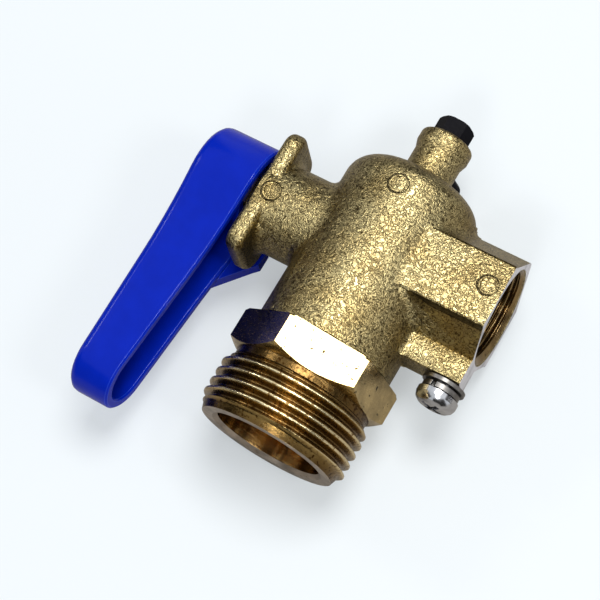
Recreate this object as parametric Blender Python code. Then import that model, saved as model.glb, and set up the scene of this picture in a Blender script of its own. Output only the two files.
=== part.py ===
"""Three-way ball tap with a blue lever, cast brass body and a vented top.

Frame: metres, +Z up along the inlet axis. The origin is the centre of the
inlet's end face, +X is the outlet direction and -Y is the front.
The lever, stem, ball and outlet share one axis along X.
"""

import math

import bmesh
import bpy
from mathutils import Matrix, Vector

MM = 0.001

# Clearances
GAP = 0.3 * MM
STOP_GAP = 0.35 * MM

# Inlet end connector: G1 male thread, hexagon and the spigot inside the body
THREAD_RADIUS = 16.6 * MM
THREAD_LENGTH = 14.5 * MM
THREAD_CHAMFER = 1.5 * MM
THREAD_PITCH = 2.309 * MM
THREAD_DEPTH = 1.48 * MM
THREAD_RUN_OUT = 0.9 * MM
RELIEF_WIDTH = 1.6 * MM
RELIEF_OVERLAP = 0.1 * MM
HEX_ACROSS_FLATS = 31.0 * MM
HEX_HEIGHT = 8.1 * MM
HEX_CHAMFER_RISE = 1.6 * MM
HEX_TOP_EASE = 0.5 * MM
HEX_CHAMFER_LIP = 0.1 * MM
HEX_TURN = math.radians(14.2)
INLET_WALL = 3.3 * MM
INLET_BORE_DEPTH = 12.0 * MM
INLET_CONE_LENGTH = 12.0 * MM
MOUTH_EASE = 0.8 * MM
SPIGOT_LIP = 0.1 * MM
SPIGOT_GROOVE_DEPTH = 1.3 * MM
SPIGOT_GROOVE_WIDTH = 1.8 * MM
SPIGOT_GROOVE_RISE = 1.4 * MM
CONNECTOR_RING_TUBE = (SPIGOT_GROOVE_DEPTH - GAP) / 2
SEAT_POCKET_DEPTH = 2.9 * MM

# Ball, ports and seats
AXIS_HEIGHT = 46.0 * MM
BALL_RADIUS = 12.3 * MM
PORT_RADIUS = 5.5 * MM
VENT_PORT_RADIUS = 1.2 * MM
SEAT_INNER_RADIUS = 5.8 * MM
SEAT_OUTER_RADIUS = 8.2 * MM
SEAT_BACK = 0.9 * MM
SEAT_SLACK = 1.0 * MM
SEAT_FACE_GAP = 0.1 * MM
SEAT_RIM_GAP = 0.2 * MM
CAVITY_HEADROOM = 0.5 * MM
CAVITY_CHAMFER = 3.0 * MM

# Cast body
BODY_WALL = 2.2 * MM
SHOULDER_RADIUS = 5.2 * MM
SHOULDER_RISE = 18.2 * MM
SHOULDER_ARC = 82
CROWN_RISE = 1.0 * MM
NOZZLE_WAIST_RADIUS = 5.4 * MM
NOZZLE_COLLAR_RADIUS = 6.0 * MM
NOZZLE_LENGTH = 10.8 * MM
COLLAR_HEIGHT = 3.4 * MM
COLLAR_EASE = 0.8 * MM
COLLAR_FLARE = 1.1 * MM
COLLAR_UNDERCUT = 0.25 * MM
COLLAR_FLARE_LIP = 0.7 * MM
NOZZLE_FILLET = 1.2 * MM
NECK_RADIUS = 9.9 * MM
NECK_FILLET = 1.6 * MM
NECK_ROOT = 6.0 * MM
NECK_END_EASE = 0.5 * MM
NECK_FACET_SHIFT = 0.4
BAR_OUTER_FACE = 28.3 * MM
BAR_THICKNESS = 4.2 * MM
BAR_LENGTH = 28.8 * MM
BAR_FRONT = 9.4 * MM
BAR_BACK = 7.0 * MM
BAR_FRONT_CORNER = 2.2 * MM
BAR_BACK_CORNER = 4.4 * MM
BAR_ROUNDING = 1.2 * MM

# Outlet boss, its socket and the rib below it
OUTLET_THROAT = 1.26 * MM
OUTLET_ACROSS_FLATS = 23.8 * MM
OUTLET_CORNER_ROUNDING = 1.2 * MM
OUTLET_ROOT = 5.3 * MM
PAD_ACROSS = 24.7 * MM
PAD_WIDTH = 14.2 * MM
PAD_ROUNDING = 0.4 * MM
SOCKET_RADIUS = 10.5 * MM
SOCKET_DEPTH = 12.5 * MM
SOCKET_CHAMFER = 0.5 * MM
SOCKET_CONE = 1.2 * MM
RIB_THICKNESS = 8.0 * MM
RIB_DROP = 17.3 * MM
RIB_EDGE_ROUNDING = 0.6 * MM
RIB_ROOT = 8.0 * MM

# Stem and its seals
STEM_RADIUS = 5.0 * MM
STEM_FLANGE_RADIUS = 6.8 * MM
STEM_FLANGE_THICKNESS = 1.5 * MM
STEM_FLANGE_CLEARANCE = 0.6 * MM
STEM_SQUARE_EASE = 0.5 * MM
TANG_THICKNESS = 4.0 * MM
TANG_WIDTH = 9.0 * MM
TANG_LENGTH = 3.6 * MM
WASHER_THICKNESS = 0.8 * MM
O_RING_TUBE = 0.42 * MM
STEM_RING_PLACES = (18.6 * MM, 22.4 * MM)
STEM_RING_GROOVE_WIDTH = 1.6 * MM
STEM_END = 36.0 * MM
SQUARE_SIZE = 7.0 * MM
SQUARE_START = 28.7 * MM

# Lever: an open channel with a round hub and a round tip
LEVER_OUTER_FACE = 42.6 * MM
LEVER_HUB_RADIUS = 11.2 * MM
LEVER_HALF_WIDTH = 7.8 * MM
LEVER_REACH = 46.6 * MM
LEVER_WAIST_DROP = 24.0 * MM
LEVER_WALL = 2.2 * MM
LEVER_WEB = 2.5 * MM
LEVER_EDGE_ROUNDING = 1.8 * MM
LEVER_RIM_EASE = 0.4 * MM
LEVER_RIM_AT_HUB = 28.7 * MM
LEVER_RIM_SLOPE = 0.08
LEVER_BOSS_RADIUS = 6.6 * MM
LEVER_BOSS_END = 30.3 * MM
RECESS_RADIUS = 5.0 * MM
RECESS_DEPTH = 3.6 * MM
LUG_THICKNESS = 3.3 * MM
LUG_TIP = 24.0 * MM
LUG_TIP_EASE = 1.2 * MM
LUG_ROOT = 32.5 * MM
LUG_TIP_DROP = 12.2 * MM
LUG_ROOT_DROP = 20.6 * MM

# Lever screw
LEVER_SCREW_RADIUS = 1.9 * MM
LEVER_SCREW_LENGTH = 10.0 * MM
LEVER_SCREW_HEAD_RADIUS = 3.6 * MM
LEVER_SCREW_HEAD_HEIGHT = 2.2 * MM
LEVER_WASHER_RADIUS = 4.5 * MM
LEVER_WASHER_THICKNESS = 0.6 * MM

# Vent plug, its ring and the side spout
PLUG_ACROSS_FLATS = 7.2 * MM
PLUG_HEIGHT = 4.0 * MM
PLUG_EASE = 0.4 * MM
PLUG_TURN = math.radians(8.6)
PLUG_SHANK_RADIUS = 2.9 * MM
PLUG_SHANK_LENGTH = 3.9 * MM
PLUG_SHANK_POINT = 0.8 * MM
PLUG_RING_TUBE = 0.6 * MM
VENT_BORE_RADIUS = 1.6 * MM
VENT_CONE = 1.6 * MM
SPOUT_DROP = 6.2 * MM
SPOUT_TURN = math.radians(-20.0)
SPOUT_RADIUS = 2.2 * MM
SPOUT_BORE = 1.0 * MM
SPOUT_SPIGOT_RADIUS = 1.7 * MM
SPOUT_REACH = 11.0 * MM
SPOUT_EASE = 0.4 * MM
SPOUT_INSET = 0.4 * MM

# Cross-recess screw with its washers under the rib
SCREW_INSET = 3.25 * MM
SCREW_RADIUS = 2.4 * MM
SCREW_HEAD_RADIUS = 4.5 * MM
SCREW_HEAD_HEIGHT = 3.1 * MM
SCREW_POINT = 0.6 * MM
PAN_HEAD_SHAPE = ((0.0, 1.0), (0.45, 0.97), (0.75, 0.86), (0.92, 0.66), (1.0, 0.36), (1.0, 0.0))
SCREW_LENGTH = 8.2 * MM
FLAT_WASHER_RADIUS = 4.7 * MM
FLAT_WASHER_THICKNESS = 0.9 * MM
SPRING_WASHER_RADIUS = 4.1 * MM
SPRING_WASHER_THICKNESS = 1.2 * MM
SPRING_WASHER_SLIT = 0.9 * MM
CROSS_SLOT_WIDTH = 1.1 * MM
CROSS_SLOT_LENGTH = 5.0 * MM
CROSS_SLOT_DEPTH = 1.6 * MM

# Faceting, and how far a piece or a cutter runs into or past the one that it meets
FINE = 48
MEDIUM = 32
SMALL = 20
THREAD_STEPS = 4
CREST_SHARE = 0.12
OVERRUN = 1.0 * MM
FILLET_SINK = 0.1 * MM

# Places worked out from the sizes above
HEX_TOP = THREAD_LENGTH + HEX_HEIGHT
THREAD_END = THREAD_LENGTH - RELIEF_WIDTH
RELIEF_RADIUS = THREAD_RADIUS - THREAD_CHAMFER
INLET_BORE_RADIUS = RELIEF_RADIUS - INLET_WALL
BODY_BOTTOM = HEX_TOP + GAP
SPIGOT_RADIUS = BALL_RADIUS + GAP + SPIGOT_LIP
BODY_RADIUS = SPIGOT_RADIUS + GAP + BODY_WALL
SHOULDER_HEIGHT = AXIS_HEIGHT + SHOULDER_RISE
CROWN_HEIGHT = SHOULDER_HEIGHT + CROWN_RISE
NOZZLE_TOP = CROWN_HEIGHT + NOZZLE_LENGTH
SPOUT_HEIGHT = NOZZLE_TOP - SPOUT_DROP
RIB_BOTTOM = AXIS_HEIGHT - RIB_DROP
SEAT_FRONT = math.sqrt((BALL_RADIUS + GAP) ** 2 - SEAT_INNER_RADIUS ** 2) + SEAT_FACE_GAP
SEAT_RIM = math.sqrt((BALL_RADIUS + GAP) ** 2 - SEAT_OUTER_RADIUS ** 2) + SEAT_RIM_GAP
SEAT_REAR = SEAT_FRONT + SEAT_BACK + SEAT_SLACK
SEAT_LEDGE = SEAT_REAR + GAP
POCKET_RADIUS = SEAT_OUTER_RADIUS + GAP
OUTLET_FACE = SEAT_LEDGE + OUTLET_THROAT + SOCKET_CONE + SOCKET_DEPTH
SCREW_PLACE = OUTLET_FACE - SCREW_INSET
SPIGOT_TOP = AXIS_HEIGHT - SEAT_LEDGE + SEAT_POCKET_DEPTH
CAVITY_BOTTOM = SPIGOT_TOP + GAP
CAVITY_RADIUS = BALL_RADIUS + GAP
CAVITY_TOP = AXIS_HEIGHT + BALL_RADIUS + CAVITY_HEADROOM
STEM_BORE_RADIUS = STEM_RADIUS + GAP
FLANGE_START = BALL_RADIUS + STEM_FLANGE_CLEARANCE
FLANGE_END = FLANGE_START + STEM_FLANGE_THICKNESS
STEM_WASHER_END = FLANGE_END + GAP + WASHER_THICKNESS
FLANGE_POCKET_END = STEM_WASHER_END + GAP
FLANGE_POCKET_RADIUS = STEM_FLANGE_RADIUS + GAP
LEVER_TIP_RADIUS = LEVER_HALF_WIDTH
LUG_FACE = BAR_BACK + STOP_GAP
RECESS_FLOOR = LEVER_OUTER_FACE - RECESS_DEPTH
SQUARE_HOLE_END = STEM_END + GAP
PLUG_SEAT = NOZZLE_TOP + GAP
RING_COUNTERBORE_RADIUS = PLUG_SHANK_RADIUS + 2 * GAP + 2 * PLUG_RING_TUBE
RING_COUNTERBORE_DEPTH = 2 * PLUG_RING_TUBE + GAP
WASHER_TOP = RIB_BOTTOM - GAP
SPRING_TOP = WASHER_TOP - FLAT_WASHER_THICKNESS - GAP
HEAD_TOP = SPRING_TOP - SPRING_WASHER_THICKNESS - GAP

FINISHES = {
    "cast_brass": ((0.60, 0.46, 0.22, 1.0), 0.45, 1.0),
    "machined_brass": ((0.72, 0.55, 0.26, 1.0), 0.22, 1.0),
    "ball_chrome": ((0.80, 0.80, 0.82, 1.0), 0.10, 1.0),
    "blue_plastic": ((0.01, 0.03, 0.45, 1.0), 0.30, 0.0),
    "black_plastic": ((0.015, 0.015, 0.018, 1.0), 0.40, 0.0),
    "white_seal": ((0.85, 0.85, 0.82, 1.0), 0.50, 0.0),
    "black_rubber": ((0.02, 0.02, 0.02, 1.0), 0.70, 0.0),
    "plated_steel": ((0.75, 0.75, 0.76, 1.0), 0.18, 1.0),
}


def clear_scene():
    """Remove every object that is already in the file."""
    for obj in list(bpy.data.objects):
        bpy.data.objects.remove(obj, do_unlink=True)


def finish_material(name):
    """Return the named finish as a Principled material, made once."""
    material = bpy.data.materials.get(name)
    if material is None:
        colour, roughness, metallic = FINISHES[name]
        material = bpy.data.materials.new(name)
        material.use_nodes = True
        shader = material.node_tree.nodes["Principled BSDF"]
        shader.inputs["Base Color"].default_value = colour
        shader.inputs["Roughness"].default_value = roughness
        shader.inputs["Metallic"].default_value = metallic
    return material


def make_object(name, bm, finish=None, parent=None, location=(0, 0, 0), rotation=(0, 0, 0)):
    """Store a bmesh as an object; without a finish it is a hidden cutter or guide."""
    bmesh.ops.remove_doubles(bm, verts=bm.verts, dist=1e-7)
    bmesh.ops.recalc_face_normals(bm, faces=bm.faces)
    mesh = bpy.data.meshes.new(name)
    bm.to_mesh(mesh)
    bm.free()
    mesh.shade_smooth()
    mesh.set_sharp_from_angle(angle=math.radians(32))
    obj = bpy.data.objects.new(name, mesh)
    bpy.context.scene.collection.objects.link(obj)
    obj.location = location
    obj.rotation_euler = rotation
    if parent is not None:
        obj.parent = parent
    if finish is None:
        obj.hide_render = True
        obj.display_type = "WIRE"
    else:
        mesh.materials.append(finish_material(finish))
    return obj


def make_empty(name, location):
    """An empty that marks a joint's axis."""
    empty = bpy.data.objects.new(name, None)
    empty.location = location
    bpy.context.scene.collection.objects.link(empty)
    return empty


def turned_bmesh(profile, segments, facet_shift):
    """Turn a (radius, height) outline about Z; it closes on itself unless it ends on the axis.

    facet_shift turns the facets by a share of one facet, so that the edges of two coaxial
    solids, or of one that meets another at right angles, don't fall on each other.
    """
    bm = bmesh.new()
    verts = [bm.verts.new((radius, 0, height)) for radius, height in profile]
    edges = [bm.edges.new(pair) for pair in zip(verts, verts[1:])]
    if profile[0][0] > 0 or profile[-1][0] > 0:
        edges.append(bm.edges.new((verts[-1], verts[0])))
    bmesh.ops.spin(bm, geom=verts + edges, cent=(0, 0, 0), axis=(0, 0, 1),
                   angle=2 * math.pi, steps=segments, use_merge=True)
    bmesh.ops.remove_doubles(bm, verts=bm.verts, dist=1e-7)
    turn = Matrix.Rotation(facet_shift * 2 * math.pi / segments, 3, "Z")
    bmesh.ops.rotate(bm, verts=bm.verts, cent=(0, 0, 0), matrix=turn)
    flat_centres = [vert for vert in bm.verts
                    if Vector(vert.co[:2]).length < 1e-6 and is_flat_fan(vert)]
    bmesh.ops.dissolve_verts(bm, verts=flat_centres)
    return bm


def is_flat_fan(vert):
    """True where every face around a vertex lies in one plane across the axis."""
    height = vert.co.z
    return all(abs(corner.co.z - height) < 1e-7 for face in vert.link_faces for corner in face.verts)


def turned(name, profile, segments, facet_shift=0.0, **placing):
    """A turned solid with its axis along its own Z."""
    return make_object(name, turned_bmesh(profile, segments, facet_shift), **placing)


def prism(name, outline, low, high, **placing):
    """Extrude an outline of (x, y) points along Z from low to high."""
    bm = bmesh.new()
    face = bm.faces.new([bm.verts.new((x, y, low)) for x, y in outline])
    sweep = bmesh.ops.extrude_face_region(bm, geom=[face])
    top = [item for item in sweep["geom"] if isinstance(item, bmesh.types.BMVert)]
    bmesh.ops.translate(bm, verts=top, vec=(0, 0, high - low))
    return make_object(name, bm, **placing)


def block(name, low, high, rounding=0.0, segments=3, keep_square=None, **placing):
    """A box between two corners, with its edges rounded; keep_square names an axis left sharp at its ends."""
    bm = bmesh.new()
    bmesh.ops.create_cube(bm, size=1.0)
    size = Vector(high) - Vector(low)
    centre = (Vector(high) + Vector(low)) / 2
    bmesh.ops.scale(bm, vec=size, verts=bm.verts)
    bmesh.ops.translate(bm, vec=centre, verts=bm.verts)
    if rounding > 0:
        edges = list(bm.edges)
        if keep_square is not None:
            along = [edge for edge in edges
                     if abs((edge.verts[0].co - edge.verts[1].co)[keep_square]) > rounding]
            edges = along
        bmesh.ops.bevel(bm, geom=edges, offset=rounding, segments=segments, profile=0.5,
                        affect="EDGES", clamp_overlap=True)
    return make_object(name, bm, **placing)


def hexagon(across_flats, turn=0.0):
    """Corners of a hexagon with one flat facing -Y, turned about its centre."""
    radius = across_flats / math.sqrt(3)
    angles = [turn + math.radians(60 * k) for k in range(6)]
    return [(radius * math.cos(angle), radius * math.sin(angle)) for angle in angles]


def arc(centre, radius, start, end, steps):
    """Points on an arc between two angles in degrees, both ends included."""
    points = []
    for k in range(steps + 1):
        angle = math.radians(start + (end - start) * k / steps)
        points.append((centre[0] + radius * math.cos(angle), centre[1] + radius * math.sin(angle)))
    return points


def combine(target, tool, operation):
    """Join, cut or intersect the target with a tool object by an exact Boolean."""
    modifier = target.modifiers.new(tool.name, "BOOLEAN")
    modifier.operation = operation
    modifier.solver = "EXACT"
    modifier.object = tool


ALONG_X = (0, math.radians(90), 0)
AGAINST_X = (0, math.radians(-90), 0)


# Cast body

def body_profile():
    """Outer outline of the barrel, shoulder, crown and nozzle, from the bottom face to the top."""
    shoulder_centre = (BODY_RADIUS - SHOULDER_RADIUS, SHOULDER_HEIGHT - SHOULDER_RADIUS)
    fillet_centre = (NOZZLE_WAIST_RADIUS + NOZZLE_FILLET, CROWN_HEIGHT + NOZZLE_FILLET)
    collar_low = NOZZLE_TOP - COLLAR_HEIGHT
    collar_centre = (NOZZLE_COLLAR_RADIUS - COLLAR_EASE, NOZZLE_TOP - COLLAR_EASE)
    points = [(0, BODY_BOTTOM), (BODY_RADIUS, BODY_BOTTOM)]
    points += arc(shoulder_centre, SHOULDER_RADIUS, 0, SHOULDER_ARC, 8)
    points += arc(fillet_centre, NOZZLE_FILLET, 180 + SHOULDER_ARC, 180, 4)
    points += [(NOZZLE_WAIST_RADIUS, collar_low - COLLAR_FLARE)]
    points += [(NOZZLE_COLLAR_RADIUS - COLLAR_UNDERCUT, collar_low),
               (NOZZLE_COLLAR_RADIUS, collar_low + COLLAR_FLARE_LIP)]
    points += arc(collar_centre, COLLAR_EASE, 0, 90, 4)
    points += [(0, NOZZLE_TOP)]
    return points


def build_neck():
    """Round neck along -X whose fillet follows the barrel's curve, up to just inside the stop bar's face."""
    bm = bmesh.new()

    def ring(radius, place):
        verts = []
        for k in range(MEDIUM):
            angle = 2 * math.pi * (k + NECK_FACET_SHIFT) / MEDIUM
            y = radius * math.cos(angle)
            verts.append(bm.verts.new((-place(y), y, radius * math.sin(angle))))
        return verts

    def on_barrel(y, lift):
        return math.sqrt(BODY_RADIUS ** 2 - y ** 2) + lift

    end = BAR_OUTER_FACE - GAP
    rings = [ring(NECK_RADIUS + NECK_FILLET, lambda y: NECK_ROOT)]
    for angle in (0, 30, 60, 90):
        turn = math.radians(angle)
        radius = NECK_RADIUS + NECK_FILLET * (1 - math.sin(turn))
        lift = NECK_FILLET * (1 - math.cos(turn)) - FILLET_SINK * math.cos(turn)
        rings.append(ring(radius, lambda y, lift=lift: on_barrel(y, lift)))
    rings.append(ring(NECK_RADIUS, lambda y: end - NECK_END_EASE))
    rings.append(ring(NECK_RADIUS - NECK_END_EASE, lambda y: end))
    for low, high in zip(rings, rings[1:]):
        for k in range(MEDIUM):
            following = (k + 1) % MEDIUM
            bm.faces.new((low[k], low[following], high[following], high[k]))
    bm.faces.new(rings[0])
    bm.faces.new(rings[-1])
    return make_object("neck", bm, location=(0, 0, AXIS_HEIGHT))


def build_stop_bar():
    """Stop bar: an outline in (y, z), softly rounded in front and more so behind, bevelled on both faces."""
    half = BAR_LENGTH / 2
    front, back = BAR_FRONT_CORNER, BAR_BACK_CORNER
    outline = arc((-BAR_FRONT + front, half - front), front, 90, 180, 3)
    outline += arc((-BAR_FRONT + front, front - half), front, 180, 270, 3)
    outline += arc((BAR_BACK - back, back - half), back, 270, 360, 5)
    outline += arc((BAR_BACK - back, half - back), back, 0, 90, 5)
    bm = bmesh.new()
    face = bm.faces.new([bm.verts.new((-BAR_OUTER_FACE, y, z)) for y, z in outline])
    sweep = bmesh.ops.extrude_face_region(bm, geom=[face])
    inner = [item for item in sweep["geom"] if isinstance(item, bmesh.types.BMVert)]
    bmesh.ops.translate(bm, verts=inner, vec=(BAR_THICKNESS, 0, 0))
    rims = [edge for edge in bm.edges if abs(edge.verts[0].co.x - edge.verts[1].co.x) < GAP]
    bmesh.ops.bevel(bm, geom=rims, offset=BAR_ROUNDING, segments=3, profile=0.5, affect="EDGES")
    return make_object("stop_bar", bm, location=(0, 0, AXIS_HEIGHT))


def outlet_boss():
    """Hexagonal boss along X, rounded at top and bottom; it runs past the face that is cut later."""
    bm = bmesh.new()
    outline = hexagon(OUTLET_ACROSS_FLATS, math.radians(30))
    face = bm.faces.new([bm.verts.new((OUTLET_ROOT, y, z)) for y, z in outline])
    sweep = bmesh.ops.extrude_face_region(bm, geom=[face])
    end = [item for item in sweep["geom"] if isinstance(item, bmesh.types.BMVert)]
    bmesh.ops.translate(bm, verts=end, vec=(OUTLET_FACE + OVERRUN - OUTLET_ROOT, 0, 0))
    corners = [edge for edge in bm.edges
               if all(abs(vert.co.z) > OUTLET_ACROSS_FLATS / 2 for vert in edge.verts)]
    bmesh.ops.bevel(bm, geom=corners, offset=OUTLET_CORNER_ROUNDING, segments=3, profile=0.5, affect="EDGES")
    return make_object("outlet_boss", bm, location=(0, 0, AXIS_HEIGHT))


def main_bore_profile():
    """Space for the connector's spigot and the ball, with the drilling to the vent above."""
    thread_radius = SPIGOT_RADIUS + GAP
    return [
        (0, BODY_BOTTOM - OVERRUN), (thread_radius, BODY_BOTTOM - OVERRUN),
        (thread_radius, CAVITY_BOTTOM), (CAVITY_RADIUS, CAVITY_BOTTOM),
        (CAVITY_RADIUS, CAVITY_TOP - CAVITY_CHAMFER), (CAVITY_RADIUS - CAVITY_CHAMFER, CAVITY_TOP),
        (VENT_BORE_RADIUS, CAVITY_TOP),
        (VENT_BORE_RADIUS, PLUG_SEAT - PLUG_SHANK_LENGTH - VENT_CONE),
        (PLUG_SHANK_RADIUS + GAP, PLUG_SEAT - PLUG_SHANK_LENGTH - GAP),
        (PLUG_SHANK_RADIUS + GAP, NOZZLE_TOP - RING_COUNTERBORE_DEPTH),
        (RING_COUNTERBORE_RADIUS, NOZZLE_TOP - RING_COUNTERBORE_DEPTH),
        (RING_COUNTERBORE_RADIUS, NOZZLE_TOP + OVERRUN), (0, NOZZLE_TOP + OVERRUN),
    ]


def stem_bore_profile():
    """Stem bore through the neck, with the pocket for the stem's flange and thrust washer."""
    return [
        (0, BALL_RADIUS * 0.7), (FLANGE_POCKET_RADIUS, BALL_RADIUS * 0.7),
        (FLANGE_POCKET_RADIUS, FLANGE_POCKET_END), (STEM_BORE_RADIUS, FLANGE_POCKET_END),
        (STEM_BORE_RADIUS, BAR_OUTER_FACE + OVERRUN), (0, BAR_OUTER_FACE + OVERRUN),
    ]


def outlet_bore_profile():
    """Seat pocket, port, threaded socket at its major size and the mouth's chamfer."""
    bottom = OUTLET_FACE - SOCKET_DEPTH
    return [
        (0, SEAT_RIM - OVERRUN), (POCKET_RADIUS, SEAT_RIM - OVERRUN), (POCKET_RADIUS, SEAT_LEDGE),
        (SEAT_INNER_RADIUS, SEAT_LEDGE), (SEAT_INNER_RADIUS, bottom - SOCKET_CONE),
        (SOCKET_RADIUS, bottom), (SOCKET_RADIUS, OUTLET_FACE - SOCKET_CHAMFER),
        (SOCKET_RADIUS + OVERRUN, OUTLET_FACE + OVERRUN - SOCKET_CHAMFER),
        (0, OUTLET_FACE + OVERRUN - SOCKET_CHAMFER),
    ]


def build_body():
    """The one forging: barrel, nozzle, neck with stop bar, outlet boss and rib."""
    axis = (0, 0, AXIS_HEIGHT)
    body = turned("valve_body", body_profile(), FINE, facet_shift=0.5, finish="cast_brass")
    neck = build_neck()
    bar = build_stop_bar()
    boss = outlet_boss()
    pads = block("outlet_pads", (OUTLET_ROOT, -PAD_ACROSS / 2, -PAD_WIDTH / 2),
                 (OUTLET_FACE + OVERRUN, PAD_ACROSS / 2, PAD_WIDTH / 2),
                 rounding=PAD_ROUNDING, segments=1, keep_square=0, location=axis)
    rib = block("rib", (RIB_ROOT, -RIB_THICKNESS / 2, RIB_BOTTOM),
                (OUTLET_FACE + OVERRUN, RIB_THICKNESS / 2, AXIS_HEIGHT - SOCKET_RADIUS - OVERRUN),
                rounding=RIB_EDGE_ROUNDING, segments=2, keep_square=0)
    for piece in (neck, bar, boss, pads, rib):
        combine(body, piece, "UNION")
    facing = block("facing_cut", (OUTLET_FACE, -PAD_ACROSS, RIB_BOTTOM - PAD_ACROSS),
                   (OUTLET_FACE + PAD_ACROSS, PAD_ACROSS, AXIS_HEIGHT + PAD_ACROSS))
    main_bore = turned("main_bore", main_bore_profile(), FINE, facet_shift=0.25)
    stem_bore = turned("stem_bore", stem_bore_profile(), MEDIUM, facet_shift=0.3, location=axis,
                       rotation=AGAINST_X)
    outlet_bore = turned("outlet_bore", outlet_bore_profile(), FINE, facet_shift=0.3, location=axis,
                         rotation=ALONG_X)
    screw_hole = turned("screw_hole", [
        (0, RIB_BOTTOM - OVERRUN), (SCREW_RADIUS + GAP, RIB_BOTTOM - OVERRUN),
        (SCREW_RADIUS + GAP, HEAD_TOP + SCREW_LENGTH + GAP), (0, HEAD_TOP + SCREW_LENGTH + GAP),
    ], SMALL, location=(SCREW_PLACE, 0, 0))
    spout_hole = turned("spout_hole", [
        (0, VENT_BORE_RADIUS / 2), (SPOUT_SPIGOT_RADIUS + GAP, VENT_BORE_RADIUS / 2),
        (SPOUT_SPIGOT_RADIUS + GAP, 2 * NOZZLE_WAIST_RADIUS), (0, 2 * NOZZLE_WAIST_RADIUS),
    ], SMALL, location=(0, 0, SPOUT_HEIGHT), rotation=(math.radians(-90), 0, SPOUT_TURN))
    for cutter in (facing, main_bore, stem_bore, outlet_bore, screw_hole, spout_hole):
        combine(body, cutter, "DIFFERENCE")
    return body


# Inlet end connector

def thread_radius(phase, height):
    """Radius of the thread at a share of the pitch, held under the end's chamfer and the run-out."""
    across = abs(phase % 1.0 - 0.5) * 2
    depth = THREAD_DEPTH * min(max((across - CREST_SHARE) / (1 - 2 * CREST_SHARE), 0.0), 1.0)
    slope = THREAD_CHAMFER / THREAD_RUN_OUT
    from_end = THREAD_RADIUS - THREAD_CHAMFER + height * slope
    to_relief = RELIEF_RADIUS - RELIEF_OVERLAP + (THREAD_END - height) * slope
    return min(THREAD_RADIUS - depth, from_end, to_relief)


def build_thread():
    """Threaded sleeve: rings of points one step apart climb by a pitch each turn, flattened at both ends.

    The last column of points joins the first one a whole turn higher, so the edges follow the crests.
    """
    bm = bmesh.new()
    rows = int((THREAD_END / THREAD_PITCH + 2) * THREAD_STEPS) + 1
    grid = []
    for column in range(FINE):
        share = column / FINE
        angle = 2 * math.pi * share
        line = []
        for row in range(rows):
            phase = row / THREAD_STEPS - 1
            height = min(max(THREAD_PITCH * (phase + share), 0.0), THREAD_END)
            radius = thread_radius(phase, height)
            line.append(bm.verts.new((radius * math.cos(angle), radius * math.sin(angle), height)))
        grid.append(line)
    grid.append(grid[0][THREAD_STEPS:] + [grid[0][-1]] * THREAD_STEPS)
    for low, high in zip(grid, grid[1:]):
        for row in range(rows - 1):
            corners = (low[row], high[row], high[row + 1], low[row + 1])
            if len(set(corners)) == 4:
                bm.faces.new(corners)
            elif len(set(corners)) == 3:
                bm.faces.new(tuple(dict.fromkeys(corners)))
    bmesh.ops.remove_doubles(bm, verts=bm.verts, dist=1e-6)
    bmesh.ops.dissolve_degenerate(bm, edges=bm.edges, dist=1e-6)
    bmesh.ops.holes_fill(bm, edges=[edge for edge in bm.edges if edge.is_boundary], sides=0)
    return make_object("connector_thread", bm)


def build_connector():
    """Hexagon, male thread, and the spigot that holds the inlet seat."""
    groove_low = HEX_TOP + SPIGOT_GROOVE_RISE
    groove_high = groove_low + SPIGOT_GROOVE_WIDTH
    connector = turned("end_connector", [
        (0, THREAD_END - OVERRUN), (RELIEF_RADIUS, THREAD_END - OVERRUN), (RELIEF_RADIUS, HEX_TOP - OVERRUN),
        (SPIGOT_RADIUS, HEX_TOP - OVERRUN), (SPIGOT_RADIUS, groove_low),
        (SPIGOT_RADIUS - SPIGOT_GROOVE_DEPTH, groove_low), (SPIGOT_RADIUS - SPIGOT_GROOVE_DEPTH, groove_high),
        (SPIGOT_RADIUS, groove_high), (SPIGOT_RADIUS, SPIGOT_TOP), (0, SPIGOT_TOP),
    ], FINE, finish="machined_brass")
    corner_radius = HEX_ACROSS_FLATS / math.sqrt(3)
    chamfer_radius = HEX_ACROSS_FLATS / 2 - HEX_CHAMFER_LIP
    chamfer = turned("hex_chamfer", [
        (0, THREAD_LENGTH), (chamfer_radius, THREAD_LENGTH),
        (corner_radius + HEX_CHAMFER_LIP, THREAD_LENGTH + HEX_CHAMFER_RISE),
        (corner_radius + HEX_CHAMFER_LIP, HEX_TOP - HEX_TOP_EASE),
        (corner_radius - HEX_TOP_EASE, HEX_TOP), (0, HEX_TOP),
    ], FINE)
    nut = prism("connector_hexagon", hexagon(HEX_ACROSS_FLATS, HEX_TURN),
                THREAD_LENGTH - OVERRUN, HEX_TOP + OVERRUN)
    combine(nut, chamfer, "INTERSECT")
    for piece in (nut, build_thread()):
        combine(connector, piece, "UNION")
    bore = turned("inlet_bore", [
        (0, -OVERRUN), (INLET_BORE_RADIUS + MOUTH_EASE + OVERRUN, -OVERRUN), (INLET_BORE_RADIUS, MOUTH_EASE),
        (INLET_BORE_RADIUS, INLET_BORE_DEPTH), (SEAT_INNER_RADIUS, INLET_BORE_DEPTH + INLET_CONE_LENGTH),
        (SEAT_INNER_RADIUS, AXIS_HEIGHT - SEAT_LEDGE), (POCKET_RADIUS, AXIS_HEIGHT - SEAT_LEDGE),
        (POCKET_RADIUS, SPIGOT_TOP + OVERRUN), (0, SPIGOT_TOP + OVERRUN),
    ], FINE, facet_shift=0.3)
    combine(connector, bore, "DIFFERENCE")
    ring_bottom = groove_low + (SPIGOT_GROOVE_WIDTH - 2 * CONNECTOR_RING_TUBE) / 2
    o_ring("connector_o_ring", SPIGOT_RADIUS - SPIGOT_GROOVE_DEPTH + GAP + CONNECTOR_RING_TUBE,
           CONNECTOR_RING_TUBE, MEDIUM, location=(0, 0, ring_bottom + CONNECTOR_RING_TUBE))
    return connector


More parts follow.
